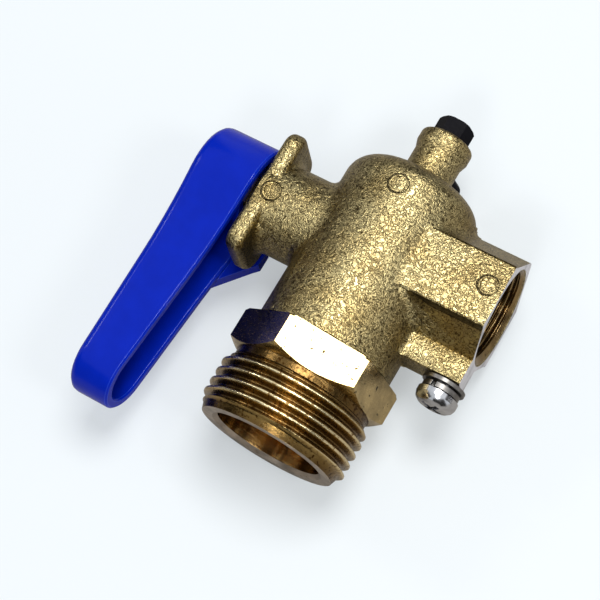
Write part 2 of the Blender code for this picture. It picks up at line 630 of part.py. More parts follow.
def o_ring(name, radius, tube, segments, **placing):
    """A ring of round section about its own Z."""
    return turned(name, arc((radius, 0), tube, 0, 360, 6)[:-1], segments, finish="black_rubber", **placing)


def build_seats():
    """Two equal seat rings: one below the ball and one at the outlet."""
    profile = [(SEAT_INNER_RADIUS, SEAT_FRONT), (SEAT_OUTER_RADIUS, SEAT_RIM),
               (SEAT_OUTER_RADIUS, SEAT_REAR), (SEAT_INNER_RADIUS, SEAT_REAR)]
    centre = (0, 0, AXIS_HEIGHT)
    down = (math.radians(180), 0, 0)
    for name, rotation in (("inlet_seat", down), ("outlet_seat", ALONG_X)):
        turned(name, profile, MEDIUM, finish="white_seal", location=centre, rotation=rotation)


# Ball, stem and lever, which turn together

def build_ball(axis):
    """Ball with an axial port to the outlet, a side port, a vent drilling and the stem's slot."""
    ball = turned("ball", [(max(0.0, x), y) for x, y in arc((0, 0), BALL_RADIUS, -90, 90, 14)], MEDIUM,
                  finish="ball_chrome", parent=axis, rotation=ALONG_X)
    reach = BALL_RADIUS + OVERRUN
    ports = (("outlet_port", PORT_RADIUS, (0, math.radians(90), 0), -0.5 * PORT_RADIUS),
             ("inlet_port", PORT_RADIUS, (math.radians(180), 0, 0), 0.0),
             ("vent_port", VENT_PORT_RADIUS, (math.radians(-90), 0, 0), 0.0))
    for name, radius, rotation, start in ports:
        cutter = turned(name, [(0, start), (radius, start), (radius, reach), (0, reach)],
                        SMALL, parent=axis, rotation=rotation)
        combine(ball, cutter, "DIFFERENCE")
    slot_floor = FLANGE_START - TANG_LENGTH - GAP
    slot_half = TANG_THICKNESS / 2 + GAP
    slot = block("tang_slot", (-reach, -slot_half, -reach), (-slot_floor, slot_half, reach), parent=axis)
    combine(ball, slot, "DIFFERENCE")
    return ball


def build_stem(axis):
    """Stem with its tang, flange, seal grooves and square end, and the pieces on it."""
    groove_floor = STEM_RADIUS - 2 * O_RING_TUBE - GAP + GAP / 2
    profile = [(0, FLANGE_START), (STEM_FLANGE_RADIUS, FLANGE_START), (STEM_FLANGE_RADIUS, FLANGE_END),
               (STEM_RADIUS, FLANGE_END)]
    for place in STEM_RING_PLACES:
        low = place - STEM_RING_GROOVE_WIDTH / 2
        high = place + STEM_RING_GROOVE_WIDTH / 2
        profile += [(STEM_RADIUS, low), (groove_floor, low), (groove_floor, high), (STEM_RADIUS, high)]
    profile += [(STEM_RADIUS, SQUARE_START), (0, SQUARE_START)]
    stem = turned("stem", profile, MEDIUM, finish="machined_brass", parent=axis, rotation=AGAINST_X)
    half = TANG_THICKNESS / 2
    tang = block("stem_tang", (-FLANGE_START - OVERRUN, -half, -TANG_WIDTH / 2),
                 (-FLANGE_START + TANG_LENGTH, half, TANG_WIDTH / 2), parent=axis)
    square = block("stem_square", (-STEM_END, -SQUARE_SIZE / 2, -SQUARE_SIZE / 2),
                   (-SQUARE_START + OVERRUN, SQUARE_SIZE / 2, SQUARE_SIZE / 2),
                   rounding=STEM_SQUARE_EASE, segments=1, keep_square=0, parent=axis)
    for piece in (tang, square):
        combine(stem, piece, "UNION")
    hole_radius = LEVER_SCREW_RADIUS + GAP
    hole_floor = RECESS_FLOOR + LEVER_WASHER_THICKNESS + 2 * GAP - LEVER_SCREW_LENGTH - GAP
    hole = turned("stem_screw_hole", [(0, hole_floor), (hole_radius, hole_floor),
                                      (hole_radius, STEM_END + OVERRUN), (0, STEM_END + OVERRUN)],
                  SMALL, parent=axis, rotation=AGAINST_X)
    combine(stem, hole, "DIFFERENCE")
    ring_radius = STEM_BORE_RADIUS - GAP / 2 - O_RING_TUBE
    for number, place in enumerate(STEM_RING_PLACES, 1):
        o_ring("stem_o_ring_%d" % number, ring_radius, O_RING_TUBE, SMALL, parent=axis,
               location=(-place, 0, 0), rotation=AGAINST_X)
    washer = [(STEM_RADIUS + GAP, FLANGE_END + GAP), (STEM_FLANGE_RADIUS, FLANGE_END + GAP),
              (STEM_FLANGE_RADIUS, STEM_WASHER_END), (STEM_RADIUS + GAP, STEM_WASHER_END)]
    turned("stem_thrust_washer", washer, MEDIUM, finish="white_seal", location=(0, 0, AXIS_HEIGHT),
           rotation=AGAINST_X)
    return stem


def lever_outline(inset):
    """Lever outline in (y, z) about the hub: hub arc, hollow waist arcs and tip arc, moved in by inset.

    The waist arc touches the hub circle and the straight side of the lower half, so its radius
    follows from how far below the hub it ends.
    """
    hub = LEVER_HUB_RADIUS
    half = LEVER_HALF_WIDTH
    waist = (LEVER_WAIST_DROP ** 2 / (hub - half) - hub - half) / 2
    waist_centre = (half + waist, -LEVER_WAIST_DROP)
    lean = math.degrees(math.atan2(waist_centre[1], waist_centre[0]))
    right = arc((0, 0), hub - inset, 90, lean, 12)
    right += arc(waist_centre, waist + inset, 180 + lean, 180, 5)[1:]
    right += arc((0, -LEVER_REACH), LEVER_TIP_RADIUS - inset, 0, -90, 9)
    left = [(-y, z) for y, z in reversed(right[1:-1])]
    return right + left


def lever_channel_bmesh():
    """Band around the outline, closed on its outer side by a web and open towards the body."""
    outer = -LEVER_OUTER_FACE
    rounding = LEVER_EDGE_ROUNDING

    def rim(z, drop):
        return -LEVER_RIM_AT_HUB + LEVER_RIM_SLOPE * min(z, 0.0) - drop

    stations = [(rounding * (1 - math.sin(math.radians(a))),
                 lambda z, a=a: outer + rounding * (1 - math.cos(math.radians(a)))) for a in (0, 30, 60, 90)]
    stations += [(0.0, lambda z: rim(z, LEVER_RIM_EASE)), (LEVER_RIM_EASE, lambda z: rim(z, 0.0)),
                 (LEVER_WALL - LEVER_RIM_EASE, lambda z: rim(z, 0.0)),
                 (LEVER_WALL, lambda z: rim(z, LEVER_RIM_EASE)),
                 (LEVER_WALL, lambda z: outer + LEVER_WEB)]
    bm = bmesh.new()
    loops = []
    for inset, place in stations:
        loops.append([bm.verts.new((place(z), y, z)) for y, z in lever_outline(inset)])
    count = len(loops[0])
    for low, high in zip(loops, loops[1:]):
        for k in range(count):
            nxt = (k + 1) % count
            bm.faces.new((low[k], low[nxt], high[nxt], high[k]))
    bm.faces.new(loops[0])
    bm.faces.new(loops[-1])
    return bm


def build_lever(axis):
    """Lever channel with its square-holed boss and the stop lug that turns round the bar."""
    lever = make_object("lever", lever_channel_bmesh(), finish="blue_plastic", parent=axis)
    web_inner = LEVER_OUTER_FACE - LEVER_WEB
    boss = turned("lever_boss", [(0, LEVER_BOSS_END), (LEVER_BOSS_RADIUS, LEVER_BOSS_END),
                                 (LEVER_BOSS_RADIUS, web_inner + OVERRUN), (0, web_inner + OVERRUN)],
                  MEDIUM, parent=axis, rotation=AGAINST_X)
    combine(lever, boss, "UNION")
    buried = web_inner + OVERRUN
    lug_outline = [(-buried, -LUG_ROOT_DROP), (-LUG_ROOT, -LUG_ROOT_DROP),
                   (-LUG_TIP - LUG_TIP_EASE, -LUG_TIP_DROP), (-LUG_TIP, -LUG_TIP_DROP + LUG_TIP_EASE),
                   (-LUG_TIP, -LUG_FACE), (-buried, -LUG_FACE)]
    lug = prism("stop_lug", lug_outline, -LUG_FACE - LUG_THICKNESS, -LUG_FACE, parent=axis,
                rotation=(math.radians(90), 0, 0))
    combine(lever, lug, "UNION")
    recess = turned("lever_recess", [
        (0, SQUARE_HOLE_END - OVERRUN), (LEVER_SCREW_RADIUS + GAP, SQUARE_HOLE_END - OVERRUN),
        (LEVER_SCREW_RADIUS + GAP, RECESS_FLOOR), (RECESS_RADIUS, RECESS_FLOOR),
        (RECESS_RADIUS, LEVER_OUTER_FACE + OVERRUN), (0, LEVER_OUTER_FACE + OVERRUN),
    ], MEDIUM, parent=axis, rotation=AGAINST_X)
    half = SQUARE_SIZE / 2 + GAP
    square = block("lever_square_hole", (-SQUARE_HOLE_END, -half, -half),
                   (-LEVER_BOSS_END + OVERRUN, half, half), parent=axis)
    for cutter in (recess, square):
        combine(lever, cutter, "DIFFERENCE")
    washer_low = RECESS_FLOOR + GAP
    washer_high = washer_low + LEVER_WASHER_THICKNESS
    turned("lever_washer", [
        (LEVER_SCREW_RADIUS + GAP, washer_low), (LEVER_WASHER_RADIUS, washer_low),
        (LEVER_WASHER_RADIUS, washer_high), (LEVER_SCREW_RADIUS + GAP, washer_high),
    ], SMALL, finish="plated_steel", parent=axis, rotation=AGAINST_X)
    screw = pan_screw("lever_screw", LEVER_SCREW_RADIUS, LEVER_SCREW_LENGTH, LEVER_SCREW_HEAD_RADIUS,
                      LEVER_SCREW_HEAD_HEIGHT, 0.7, parent=axis,
                      location=(-washer_high - GAP, 0, 0), rotation=ALONG_X)
    return lever, screw


# Vent plug and spout

def build_vent(axis):
    """Hexagon plug in the nozzle, its ring, and the spout at the nozzle's back."""
    corner = PLUG_ACROSS_FLATS / math.sqrt(3)
    top = PLUG_HEIGHT
    plug = prism("vent_plug", hexagon(PLUG_ACROSS_FLATS, PLUG_TURN), 0, top,
                 finish="black_plastic", parent=axis)
    ease = turned("plug_ease", [
        (0, -OVERRUN), (corner - PLUG_EASE, -OVERRUN), (corner - PLUG_EASE, 0),
        (corner + HEX_CHAMFER_LIP, PLUG_EASE), (corner + HEX_CHAMFER_LIP, top - PLUG_EASE),
        (corner - PLUG_EASE, top), (0, top),
    ], MEDIUM, parent=axis)
    shank = turned("plug_shank", [
        (0, -PLUG_SHANK_LENGTH), (PLUG_SHANK_RADIUS - PLUG_SHANK_POINT, -PLUG_SHANK_LENGTH),
        (PLUG_SHANK_RADIUS, -PLUG_SHANK_LENGTH + PLUG_SHANK_POINT), (PLUG_SHANK_RADIUS, OVERRUN), (0, OVERRUN),
    ], SMALL, parent=axis)
    combine(plug, ease, "INTERSECT")
    combine(plug, shank, "UNION")
    ring_radius = PLUG_SHANK_RADIUS + GAP + PLUG_RING_TUBE
    ring_drop = GAP + PLUG_RING_TUBE
    o_ring("vent_plug_o_ring", ring_radius, PLUG_RING_TUBE, SMALL, parent=axis,
           location=(0, 0, -ring_drop))
    inner = VENT_BORE_RADIUS + SPOUT_INSET
    shoulder = NOZZLE_COLLAR_RADIUS + GAP
    turned("vent_spout", [
        (SPOUT_BORE, inner), (SPOUT_SPIGOT_RADIUS, inner), (SPOUT_SPIGOT_RADIUS, shoulder),
        (SPOUT_RADIUS, shoulder), (SPOUT_RADIUS, SPOUT_REACH - SPOUT_EASE),
        (SPOUT_RADIUS - SPOUT_EASE, SPOUT_REACH), (SPOUT_BORE, SPOUT_REACH),
    ], SMALL, finish="black_plastic", location=(0, 0, SPOUT_HEIGHT),
        rotation=(math.radians(-90), 0, SPOUT_TURN))
    return plug


# Screws and washers

def pan_screw(name, radius, length, head_radius, head_height, slot_scale, **placing):
    """Pan-head screw with a cross recess; its shank points along +Z and its head hangs below 0."""
    head = [(across * head_radius, -drop * head_height) for across, drop in PAN_HEAD_SHAPE]
    shank = [(radius, 0), (radius, length - SCREW_POINT), (radius - SCREW_POINT, length), (0, length)]
    screw = turned(name, head + shank, SMALL, finish="plated_steel", **placing)
    half_width = CROSS_SLOT_WIDTH * slot_scale / 2
    half_length = CROSS_SLOT_LENGTH * slot_scale / 2
    depth = CROSS_SLOT_DEPTH * slot_scale
    bm = bmesh.new()
    arm = [(half_width, half_width), (half_length, half_width), (half_length, -half_width)]
    points = []
    for quarter in range(4):
        turn = Matrix.Rotation(-quarter * math.pi / 2, 2)
        points += [turn @ Vector(point) for point in arm]
    face = bm.faces.new([bm.verts.new((x, y, -head_height - OVERRUN)) for x, y in points])
    sweep = bmesh.ops.extrude_face_region(bm, geom=[face])
    floor = [item for item in sweep["geom"] if isinstance(item, bmesh.types.BMVert)]
    bmesh.ops.translate(bm, verts=floor, vec=(0, 0, OVERRUN + depth))
    recess = make_object(name + "_recess", bm, **placing)
    combine(screw, recess, "DIFFERENCE")
    return screw


def build_clamp_screw():
    """Cross-recess screw under the rib with a flat washer and a split spring washer."""
    place = (SCREW_PLACE, 0, 0)
    pan_screw("bonding_screw", SCREW_RADIUS, SCREW_LENGTH, SCREW_HEAD_RADIUS, SCREW_HEAD_HEIGHT, 1.0,
              location=(SCREW_PLACE, 0, HEAD_TOP), rotation=(0, 0, math.radians(35)))
    bore = SCREW_RADIUS + GAP
    turned("flat_washer", [
        (bore, WASHER_TOP - FLAT_WASHER_THICKNESS), (FLAT_WASHER_RADIUS, WASHER_TOP - FLAT_WASHER_THICKNESS),
        (FLAT_WASHER_RADIUS, WASHER_TOP), (bore, WASHER_TOP),
    ], MEDIUM, finish="plated_steel", location=place)
    low = SPRING_TOP - SPRING_WASHER_THICKNESS
    spring = turned("spring_washer", [(bore, low), (SPRING_WASHER_RADIUS, low),
                                      (SPRING_WASHER_RADIUS, SPRING_TOP), (bore, SPRING_TOP)],
                    MEDIUM, finish="plated_steel", location=place)
    slit = block("spring_washer_slit", (0, -SPRING_WASHER_SLIT / 2, low - OVERRUN),
                 (SPRING_WASHER_RADIUS + OVERRUN, SPRING_WASHER_SLIT / 2, SPRING_TOP + OVERRUN),
                 location=place, rotation=(0, 0, math.radians(-110)))
    combine(spring, slit, "DIFFERENCE")


def main():
    clear_scene()
    lever_axis = make_empty("lever_axis", (0, 0, AXIS_HEIGHT))
    plug_axis = make_empty("plug_axis", (0, 0, PLUG_SEAT))
    build_body()
    build_connector()
    build_seats()
    build_ball(lever_axis)
    build_stem(lever_axis)
    build_lever(lever_axis)
    build_vent(plug_axis)
    build_clamp_screw()


main()
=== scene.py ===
"""Three-way ball tap in cast brass with a blue lever, lying on a pale surface.

Frame: metres, +Z up along the inlet axis, +X out of the outlet, -Y is the front.
"""

import math

import bmesh
import bpy
import numpy as np
from mathutils import Matrix, Vector
from mathutils.bvhtree import BVHTree


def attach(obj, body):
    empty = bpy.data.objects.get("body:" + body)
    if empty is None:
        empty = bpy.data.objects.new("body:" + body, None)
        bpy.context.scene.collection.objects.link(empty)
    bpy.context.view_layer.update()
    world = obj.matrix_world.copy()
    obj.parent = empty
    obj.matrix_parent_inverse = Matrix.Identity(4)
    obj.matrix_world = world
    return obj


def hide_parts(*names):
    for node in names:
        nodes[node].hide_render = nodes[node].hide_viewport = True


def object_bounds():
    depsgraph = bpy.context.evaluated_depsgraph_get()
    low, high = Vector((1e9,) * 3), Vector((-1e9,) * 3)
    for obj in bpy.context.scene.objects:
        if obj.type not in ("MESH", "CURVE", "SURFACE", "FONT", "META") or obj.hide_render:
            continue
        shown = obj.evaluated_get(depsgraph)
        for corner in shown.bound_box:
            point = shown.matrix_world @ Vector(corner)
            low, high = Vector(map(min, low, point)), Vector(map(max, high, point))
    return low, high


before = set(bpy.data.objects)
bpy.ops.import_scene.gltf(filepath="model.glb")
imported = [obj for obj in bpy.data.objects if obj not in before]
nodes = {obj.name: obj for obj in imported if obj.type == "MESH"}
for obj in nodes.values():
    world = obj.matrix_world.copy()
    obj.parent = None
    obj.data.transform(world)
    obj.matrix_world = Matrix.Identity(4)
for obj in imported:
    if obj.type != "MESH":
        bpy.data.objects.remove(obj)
cad_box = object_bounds()

MM = 0.001

# Edges that turn more than this, in degrees, count as sharp; hidden ends lie this deep under a surface
SHARP_ANGLE = 32.0
BURIED = 0.1 * MM

# Main places and sizes, as in the source of the solids
AXIS_HEIGHT = 46.0 * MM
THREAD_RADIUS = 16.6 * MM
THREAD_PITCH = 2.309 * MM
THREAD_DEPTH = 1.48 * MM
THREAD_END = 12.9 * MM
THREAD_LENGTH = 14.5 * MM
RELIEF_RADIUS = 15.1 * MM
HEX_ACROSS_FLATS = 31.0 * MM
HEX_TOP = 22.6 * MM
HEX_TURN = math.radians(14.2)
HEX_CHAMFER_RISE = 1.6 * MM
HEX_TOP_EASE = 0.5 * MM
BORE_RADIUS = 11.8 * MM
BORE_DEPTH = 12.0 * MM
CONE_LENGTH = 12.0 * MM
THROAT_RADIUS = 5.8 * MM
MOUTH_EASE = 0.8 * MM
HEX_FACE_STEP = 0.1 * MM
SPIGOT_FOOT_RADIUS = 13.2 * MM
SPIGOT_RADIUS = 12.7 * MM
SPIGOT_TOP = 35.4 * MM
SEAT_POCKET_RADIUS = 8.5 * MM
SEAT_POCKET_FLOOR = 32.6 * MM
END_FACE_RADIUS = 14.9 * MM
LIP_LENGTH = 1.5 * MM
OUTLET_FACE = 28.446 * MM
SOCKET_RADIUS = 10.5 * MM
SOCKET_DEPTH = 12.5 * MM
SOCKET_PITCH = 1.814 * MM
SOCKET_THREAD_DEPTH = 1.15 * MM
SOCKET_THREAD_LENGTH = SOCKET_DEPTH - 1.6 * MM
BODY_RADIUS = 15.2 * MM
OUTLET_ACROSS_FLATS = 23.8 * MM
PAD_ACROSS = 24.7 * MM
PAD_WIDTH = 14.2 * MM
RIB_HALF_WIDTH = 4.0 * MM
RIB_DROP = 17.3 * MM
NECK_RADIUS = 9.9 * MM
BAR_OUTER_FACE = 28.3 * MM
BAR_THICKNESS = 4.2 * MM
BAR_LENGTH = 28.8 * MM
BAR_FRONT = 9.4 * MM
BAR_BACK = 7.0 * MM

# The stop bar's softer form; BAR_SHRINK hides the solid's bar, and the fillets end at degrees from Z
BAR_FRONT_CORNER = 3.2 * MM
BAR_BACK_CORNER = 4.4 * MM
BAR_RIM = 1.55 * MM
BAR_FACE_EASE = 0.04 * MM
BAR_EYE_RADIUS = 6.6 * MM
BAR_SHRINK = (0.6, 0.88, 0.93)
BAR_FILLET = 1.7 * MM
BAR_FILLET_END = 0.3 * MM
BAR_FILLET_FRONT = -46.0
BAR_FILLET_BACK = 30.0

# The outlet's fillets: the largest radius, and the radius at the ends
PAD_FILLET = (5.0 * MM, 2.2 * MM)
FACET_FILLET = (2.4 * MM, 1.4 * MM)
RIB_FILLET = (1.8 * MM, 1.0 * MM)

# All fillets: steps along and across, how far a bead stands off the metal, and how deep its back lies in it
FILLET_STEPS = 25
FILLET_ARC_STEPS = 9
FILLET_LIFT = 0.02 * MM
FILLET_ROOT = 0.5 * MM

# Bands of painted shade beside the pads, from the barrel to the outlet's end
BAND_START = BODY_RADIUS - 3.2 * MM
BAND_END = OUTLET_FACE - 0.1 * MM
LOWER_BAND_WIDTH = 1.5 * MM
UPPER_BAND_WIDTH = 0.9 * MM

# Casting marks
MARK_RADIUS = 1.75 * MM
MARK_TUBE = 0.36 * MM
# A dark ring of painted shadow round each mark: its radius and tube
SHADOW_RING_RADIUS = MARK_RADIUS + 0.42 * MM
SHADOW_RING_TUBE = 0.22 * MM
MARK_PLACES = {
    "bar": (-24.4 * MM, -NECK_RADIUS, AXIS_HEIGHT - 0.3 * MM),
    "barrel": (-0.4 * MM, -BODY_RADIUS, AXIS_HEIGHT + 11.1 * MM),
    "outlet": (25.2 * MM, -PAD_ACROSS / 2, AXIS_HEIGHT + 1.0 * MM),
}


# Mesh tools

def grid_mesh(name, points):
    """Closed mesh of a grid of points, rows by columns by 3; the last row and column join the first."""
    rows, columns = points.shape[:2]
    r, c = np.meshgrid(np.arange(rows), np.arange(columns), indexing="ij")
    r2 = (r + 1) % rows
    c2 = (c + 1) % columns
    faces = np.stack([r * columns + c, r * columns + c2, r2 * columns + c2, r2 * columns + c], axis=-1)
    mesh = bpy.data.meshes.new(name)
    mesh.from_pydata(points.reshape(-1, 3).tolist(), [], faces.reshape(-1, 4).tolist())
    return mesh


def tidy_mesh(mesh, merge=1e-7):
    """Merge the points that fall together and turn the faces outwards."""
    bm = bmesh.new()
    bm.from_mesh(mesh)
    bmesh.ops.remove_doubles(bm, verts=bm.verts, dist=merge)
    bmesh.ops.dissolve_degenerate(bm, edges=bm.edges, dist=merge)
    bmesh.ops.recalc_face_normals(bm, faces=bm.faces)
    bm.to_mesh(mesh)
    bm.free()


def new_piece(name, mesh, body, material, sharp_angle=SHARP_ANGLE):
    """A shaded piece that rides on a body and takes its finish from a slot."""
    mesh.shade_smooth()
    mesh.set_sharp_from_angle(angle=math.radians(sharp_angle))
    mesh.materials.clear()
    mesh.materials.append(material)
    piece = bpy.data.objects.new(name, mesh)
    bpy.context.scene.collection.objects.link(piece)
    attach(piece, body)
    return piece


def merged_copy(node, merge=2e-6):
    """A copy of a node's mesh whose loose triangles are joined again, with flat faces made whole."""
    mesh = nodes[node].data.copy()
    bm = bmesh.new()
    bm.from_mesh(mesh)
    bmesh.ops.remove_doubles(bm, verts=bm.verts, dist=merge)
    bmesh.ops.dissolve_limit(bm, angle_limit=math.radians(0.5), verts=bm.verts, edges=bm.edges)
    bmesh.ops.recalc_face_normals(bm, faces=bm.faces)
    bm.to_mesh(mesh)
    bm.free()
    mesh.name = node + "_fine"
    return mesh


def soften(piece, width, segments, sharp_angle):
    """Round a piece's edges that are sharper than an angle."""
    edge = piece.modifiers.new("soft_edges", "BEVEL")
    edge.width = width
    edge.segments = segments
    edge.limit_method = "ANGLE"
    edge.angle_limit = math.radians(sharp_angle)
    edge.harden_normals = True
    return edge


def refine_node(node, body, material, bevel=0.15 * MM, segments=2, edge_material=None):
    """Replace a node by its own shape with softened edges, which may have a finish of their own."""
    piece = new_piece(node + "_fine", merged_copy(node), body, material)
    edge = soften(piece, bevel, segments, SHARP_ANGLE)
    if edge_material is not None:
        piece.data.materials.append(edge_material)
        edge.material = 1
    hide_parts(node)
    return piece


# Materials

def new_material(name):
    """An empty node material with a Principled shader; returns the material, its nodes, links and shader."""
    material = bpy.data.materials.new(name)
    material.use_nodes = True
    tree = material.node_tree
    return material, tree.nodes, tree.links, tree.nodes["Principled BSDF"]


def object_point(tree_nodes):
    """The Object coordinate socket."""
    return tree_nodes.new("ShaderNodeTexCoord").outputs["Object"]


def noise(tree_nodes, links, point, size, detail=2.0, roughness=0.5, distortion=0.0, stretch=None):
    """Noise whose features are about size metres wide; stretch scales the point along X, Y and Z first."""
    texture = tree_nodes.new("ShaderNodeTexNoise")
    texture.inputs["Scale"].default_value = 1.0 / size
    texture.inputs["Detail"].default_value = detail
    texture.inputs["Roughness"].default_value = roughness
    texture.inputs["Distortion"].default_value = distortion
    if stretch is not None:
        mapping = tree_nodes.new("ShaderNodeMapping")
        mapping.inputs["Scale"].default_value = stretch
        links.new(point, mapping.inputs["Vector"])
        point = mapping.outputs["Vector"]
    links.new(point, texture.inputs["Vector"])
    return texture.outputs["Fac"]


def ramp(tree_nodes, links, value, stops):
    """Colour ramp over a value; stops are (place, colour) pairs."""
    node = tree_nodes.new("ShaderNodeValToRGB")
    elements = node.color_ramp.elements
    while len(elements) < len(stops):
        elements.new(0.5)
    for element, (place, colour) in zip(elements, stops):
        element.position = place
        element.color = (*colour, 1.0)
    links.new(value, node.inputs["Fac"])
    return node.outputs["Color"]


def spread(tree_nodes, links, value, low, high, low_out, high_out):
    """Map Range from low..high to low_out..high_out."""
    node = tree_nodes.new("ShaderNodeMapRange")
    node.inputs["From Min"].default_value = low
    node.inputs["From Max"].default_value = high
    node.inputs["To Min"].default_value = low_out
    node.inputs["To Max"].default_value = high_out
    links.new(value, node.inputs["Value"])
    return node.outputs["Result"]


def bump(tree_nodes, links, height, distance, normal=None):
    """Bump of a given depth in metres, on top of an earlier one."""
    node = tree_nodes.new("ShaderNodeBump")
    node.inputs["Distance"].default_value = distance
    links.new(height, node.inputs["Height"])
    if normal is not None:
        links.new(normal, node.inputs["Normal"])
    return node.outputs["Normal"]


def tinted(tree_nodes, links, colour, tint):
    """One colour multiplied by another."""
    mix = tree_nodes.new("ShaderNodeMix")
    mix.data_type = "RGBA"
    mix.blend_type = "MULTIPLY"
    mix.inputs["Factor"].default_value = 1.0
    links.new(colour, mix.inputs["A"])
    links.new(tint, mix.inputs["B"])
    return mix.outputs["Result"]


def from_axis(tree_nodes, links, point):
    """Distance of a point from the Z axis."""
    flat = tree_nodes.new("ShaderNodeMapping")
    flat.inputs["Scale"].default_value = (1.0, 1.0, 0.0)
    links.new(point, flat.inputs["Vector"])
    length = tree_nodes.new("ShaderNodeVectorMath")
    length.operation = "LENGTH"
    links.new(flat.outputs["Vector"], length.inputs[0])
    return length.outputs["Value"]


def cast_brass(name="shot_blasted_brass", shade=1.0):
    """Shot-blasted casting: crinkled grain of about 1 mm with thin dark grooves, and slow tarnish."""
    material, tree_nodes, links, shader = new_material(name)
    point = object_point(tree_nodes)
    grain = noise(tree_nodes, links, point, 1.12 * MM, detail=1.6, roughness=0.5, distortion=0.8)
    pebble = noise(tree_nodes, links, point, 0.65 * MM, detail=1.2, roughness=0.45, distortion=0.9)
    speck = noise(tree_nodes, links, point, 0.25 * MM, detail=1.0)
    lump = noise(tree_nodes, links, point, 3.0 * MM, detail=2.0)
    cloud = noise(tree_nodes, links, point, 8.0 * MM, detail=3.0)
    groove = tuple(shade * part for part in (0.050, 0.033, 0.012))
    land = tuple(shade * part for part in (0.465, 0.380, 0.186))
    colour = ramp(tree_nodes, links, grain, [
        (0.365, land), (0.43, groove), (0.485, land), (0.53, land), (0.585, groove), (0.65, land)])
    relief = ramp(tree_nodes, links, grain, [
        (0.34, (1.0, 1.0, 1.0)), (0.43, (0.0, 0.0, 0.0)), (0.51, (0.9, 0.9, 0.9)),
        (0.585, (0.0, 0.0, 0.0)), (0.67, (1.0, 1.0, 1.0))])
    tone = ramp(tree_nodes, links, cloud, [(0.34, (0.80, 0.74, 0.64)), (0.62, (1.0, 1.0, 1.0))])
    links.new(tinted(tree_nodes, links, colour, tone), shader.inputs["Base Color"])
    links.new(spread(tree_nodes, links, speck, 0.3, 0.7, 0.28, 0.38), shader.inputs["Roughness"])
    shader.inputs["Metallic"].default_value = 1.0
    slow = bump(tree_nodes, links, lump, 0.10 * MM)
    coarse = bump(tree_nodes, links, pebble, 0.075 * MM, slow)
    crinkle = bump(tree_nodes, links, relief, 0.045 * MM, coarse)
    links.new(bump(tree_nodes, links, speck, 0.01 * MM, crinkle), shader.inputs["Normal"])
    return material


def machined_brass(name="turned_brass", colour=(0.62, 0.47, 0.22), roughness=0.2, stretch=(1.0, 1.0, 12.0),
                   metallic=1.0, tooling=0.012 * MM, speck_colour=(0.016, 0.013, 0.009)):
    """Turned or milled brass with fine tool lines across the stretched axis and a few dark specks."""
    material, tree_nodes, links, shader = new_material(name)
    point = object_point(tree_nodes)
    lines = noise(tree_nodes, links, point, 1.2 * MM, detail=3.0, stretch=stretch)
    cloud = noise(tree_nodes, links, point, 5.0 * MM, detail=3.0, roughness=0.6)
    speck = noise(tree_nodes, links, point, 0.9 * MM, detail=2.0)
    dark = tuple(0.5 * part for part in colour)
    body = ramp(tree_nodes, links, cloud, [(0.32, dark), (0.60, colour)])
    specks = ramp(tree_nodes, links, speck, [(0.30, speck_colour), (0.335, (1.0, 1.0, 1.0))])
    links.new(tinted(tree_nodes, links, body, specks), shader.inputs["Base Color"])
    links.new(spread(tree_nodes, links, lines, 0.3, 0.7, roughness - 0.06, roughness + 0.08),
              shader.inputs["Roughness"])
    shader.inputs["Metallic"].default_value = metallic
    links.new(bump(tree_nodes, links, lines, tooling), shader.inputs["Normal"])
    return material


def thread_brass():
    """Thread: amber crests, a colour darkened down into the valleys as painted shade, and specks of dirt."""
    material, tree_nodes, links, shader = new_material("thread_amber_brass")
    point = object_point(tree_nodes)
    lines = noise(tree_nodes, links, point, 0.8 * MM, detail=3.0, stretch=(1.0, 1.0, 10.0))
    speck = noise(tree_nodes, links, point, 0.8 * MM, detail=3.0, roughness=0.6)
    radius = from_axis(tree_nodes, links, point)
    depth = spread(tree_nodes, links, radius, THREAD_RADIUS - THREAD_DEPTH, THREAD_RADIUS, 0.0, 1.0)
    # The colour darkens with depth into the valleys: painted shade
    colour = ramp(tree_nodes, links, depth, [
        (0.00, (0.15, 0.088, 0.028)), (0.45, (0.26, 0.165, 0.052)), (0.82, (0.50, 0.35, 0.13)),
        (0.97, (0.84, 0.70, 0.42))])
    grime = ramp(tree_nodes, links, speck, [(0.34, (0.28, 0.20, 0.12)), (0.46, (1.0, 1.0, 1.0))])
    links.new(tinted(tree_nodes, links, colour, grime), shader.inputs["Base Color"])
    links.new(spread(tree_nodes, links, speck, 0.3, 0.6, 0.34, 0.17), shader.inputs["Roughness"])
    shader.inputs["Metallic"].default_value = 1.0
    first = bump(tree_nodes, links, speck, 0.05 * MM)
    links.new(bump(tree_nodes, links, lines, 0.02 * MM, first), shader.inputs["Normal"])
    return material


def bore_brass():
    """The inlet's bore: amber with deep turning lines, and streaks along the axis painted dark and bright as
    painted shade and painted highlights.
    """
    material = machined_brass("bore_amber_brass", colour=(0.92, 0.62, 0.24), roughness=0.11,
                              stretch=(0.3, 0.3, 14.0), tooling=0.04 * MM)
    tree_nodes = material.node_tree.nodes
    links = material.node_tree.links
    base = tree_nodes["Principled BSDF"].inputs["Base Color"]
    point = object_point(tree_nodes)
    # Streaks along the axis, dark and bright: painted shade and painted highlights of a turned bore
    streak = noise(tree_nodes, links, point, 2.6 * MM, detail=1.5, stretch=(1.0, 1.0, 0.03))
    streaks = ramp(tree_nodes, links, streak, [
        (0.42, (0.34, 0.30, 0.27)), (0.50, (0.80, 0.77, 0.72)), (0.56, (1.0, 1.0, 1.0))])
    links.new(tinted(tree_nodes, links, base.links[0].from_socket, streaks), base)
    return material


def faced_brass():
    """The outlet's end face: smooth, pale and grey beside the casting."""
    return machined_brass("faced_brass", colour=(0.66, 0.64, 0.67), roughness=0.34,
                          stretch=(1.0, 1.0, 1.0), metallic=0.4, speck_colour=(0.75, 0.75, 0.75))


def dull_face_brass():
    """The inlet's end face: dull grey-tan with faint clouds."""
    return machined_brass("dull_face_brass", colour=(0.46, 0.38, 0.30), roughness=0.34,
                          stretch=(1.0, 1.0, 1.0), metallic=0.8, speck_colour=(0.6, 0.55, 0.5))


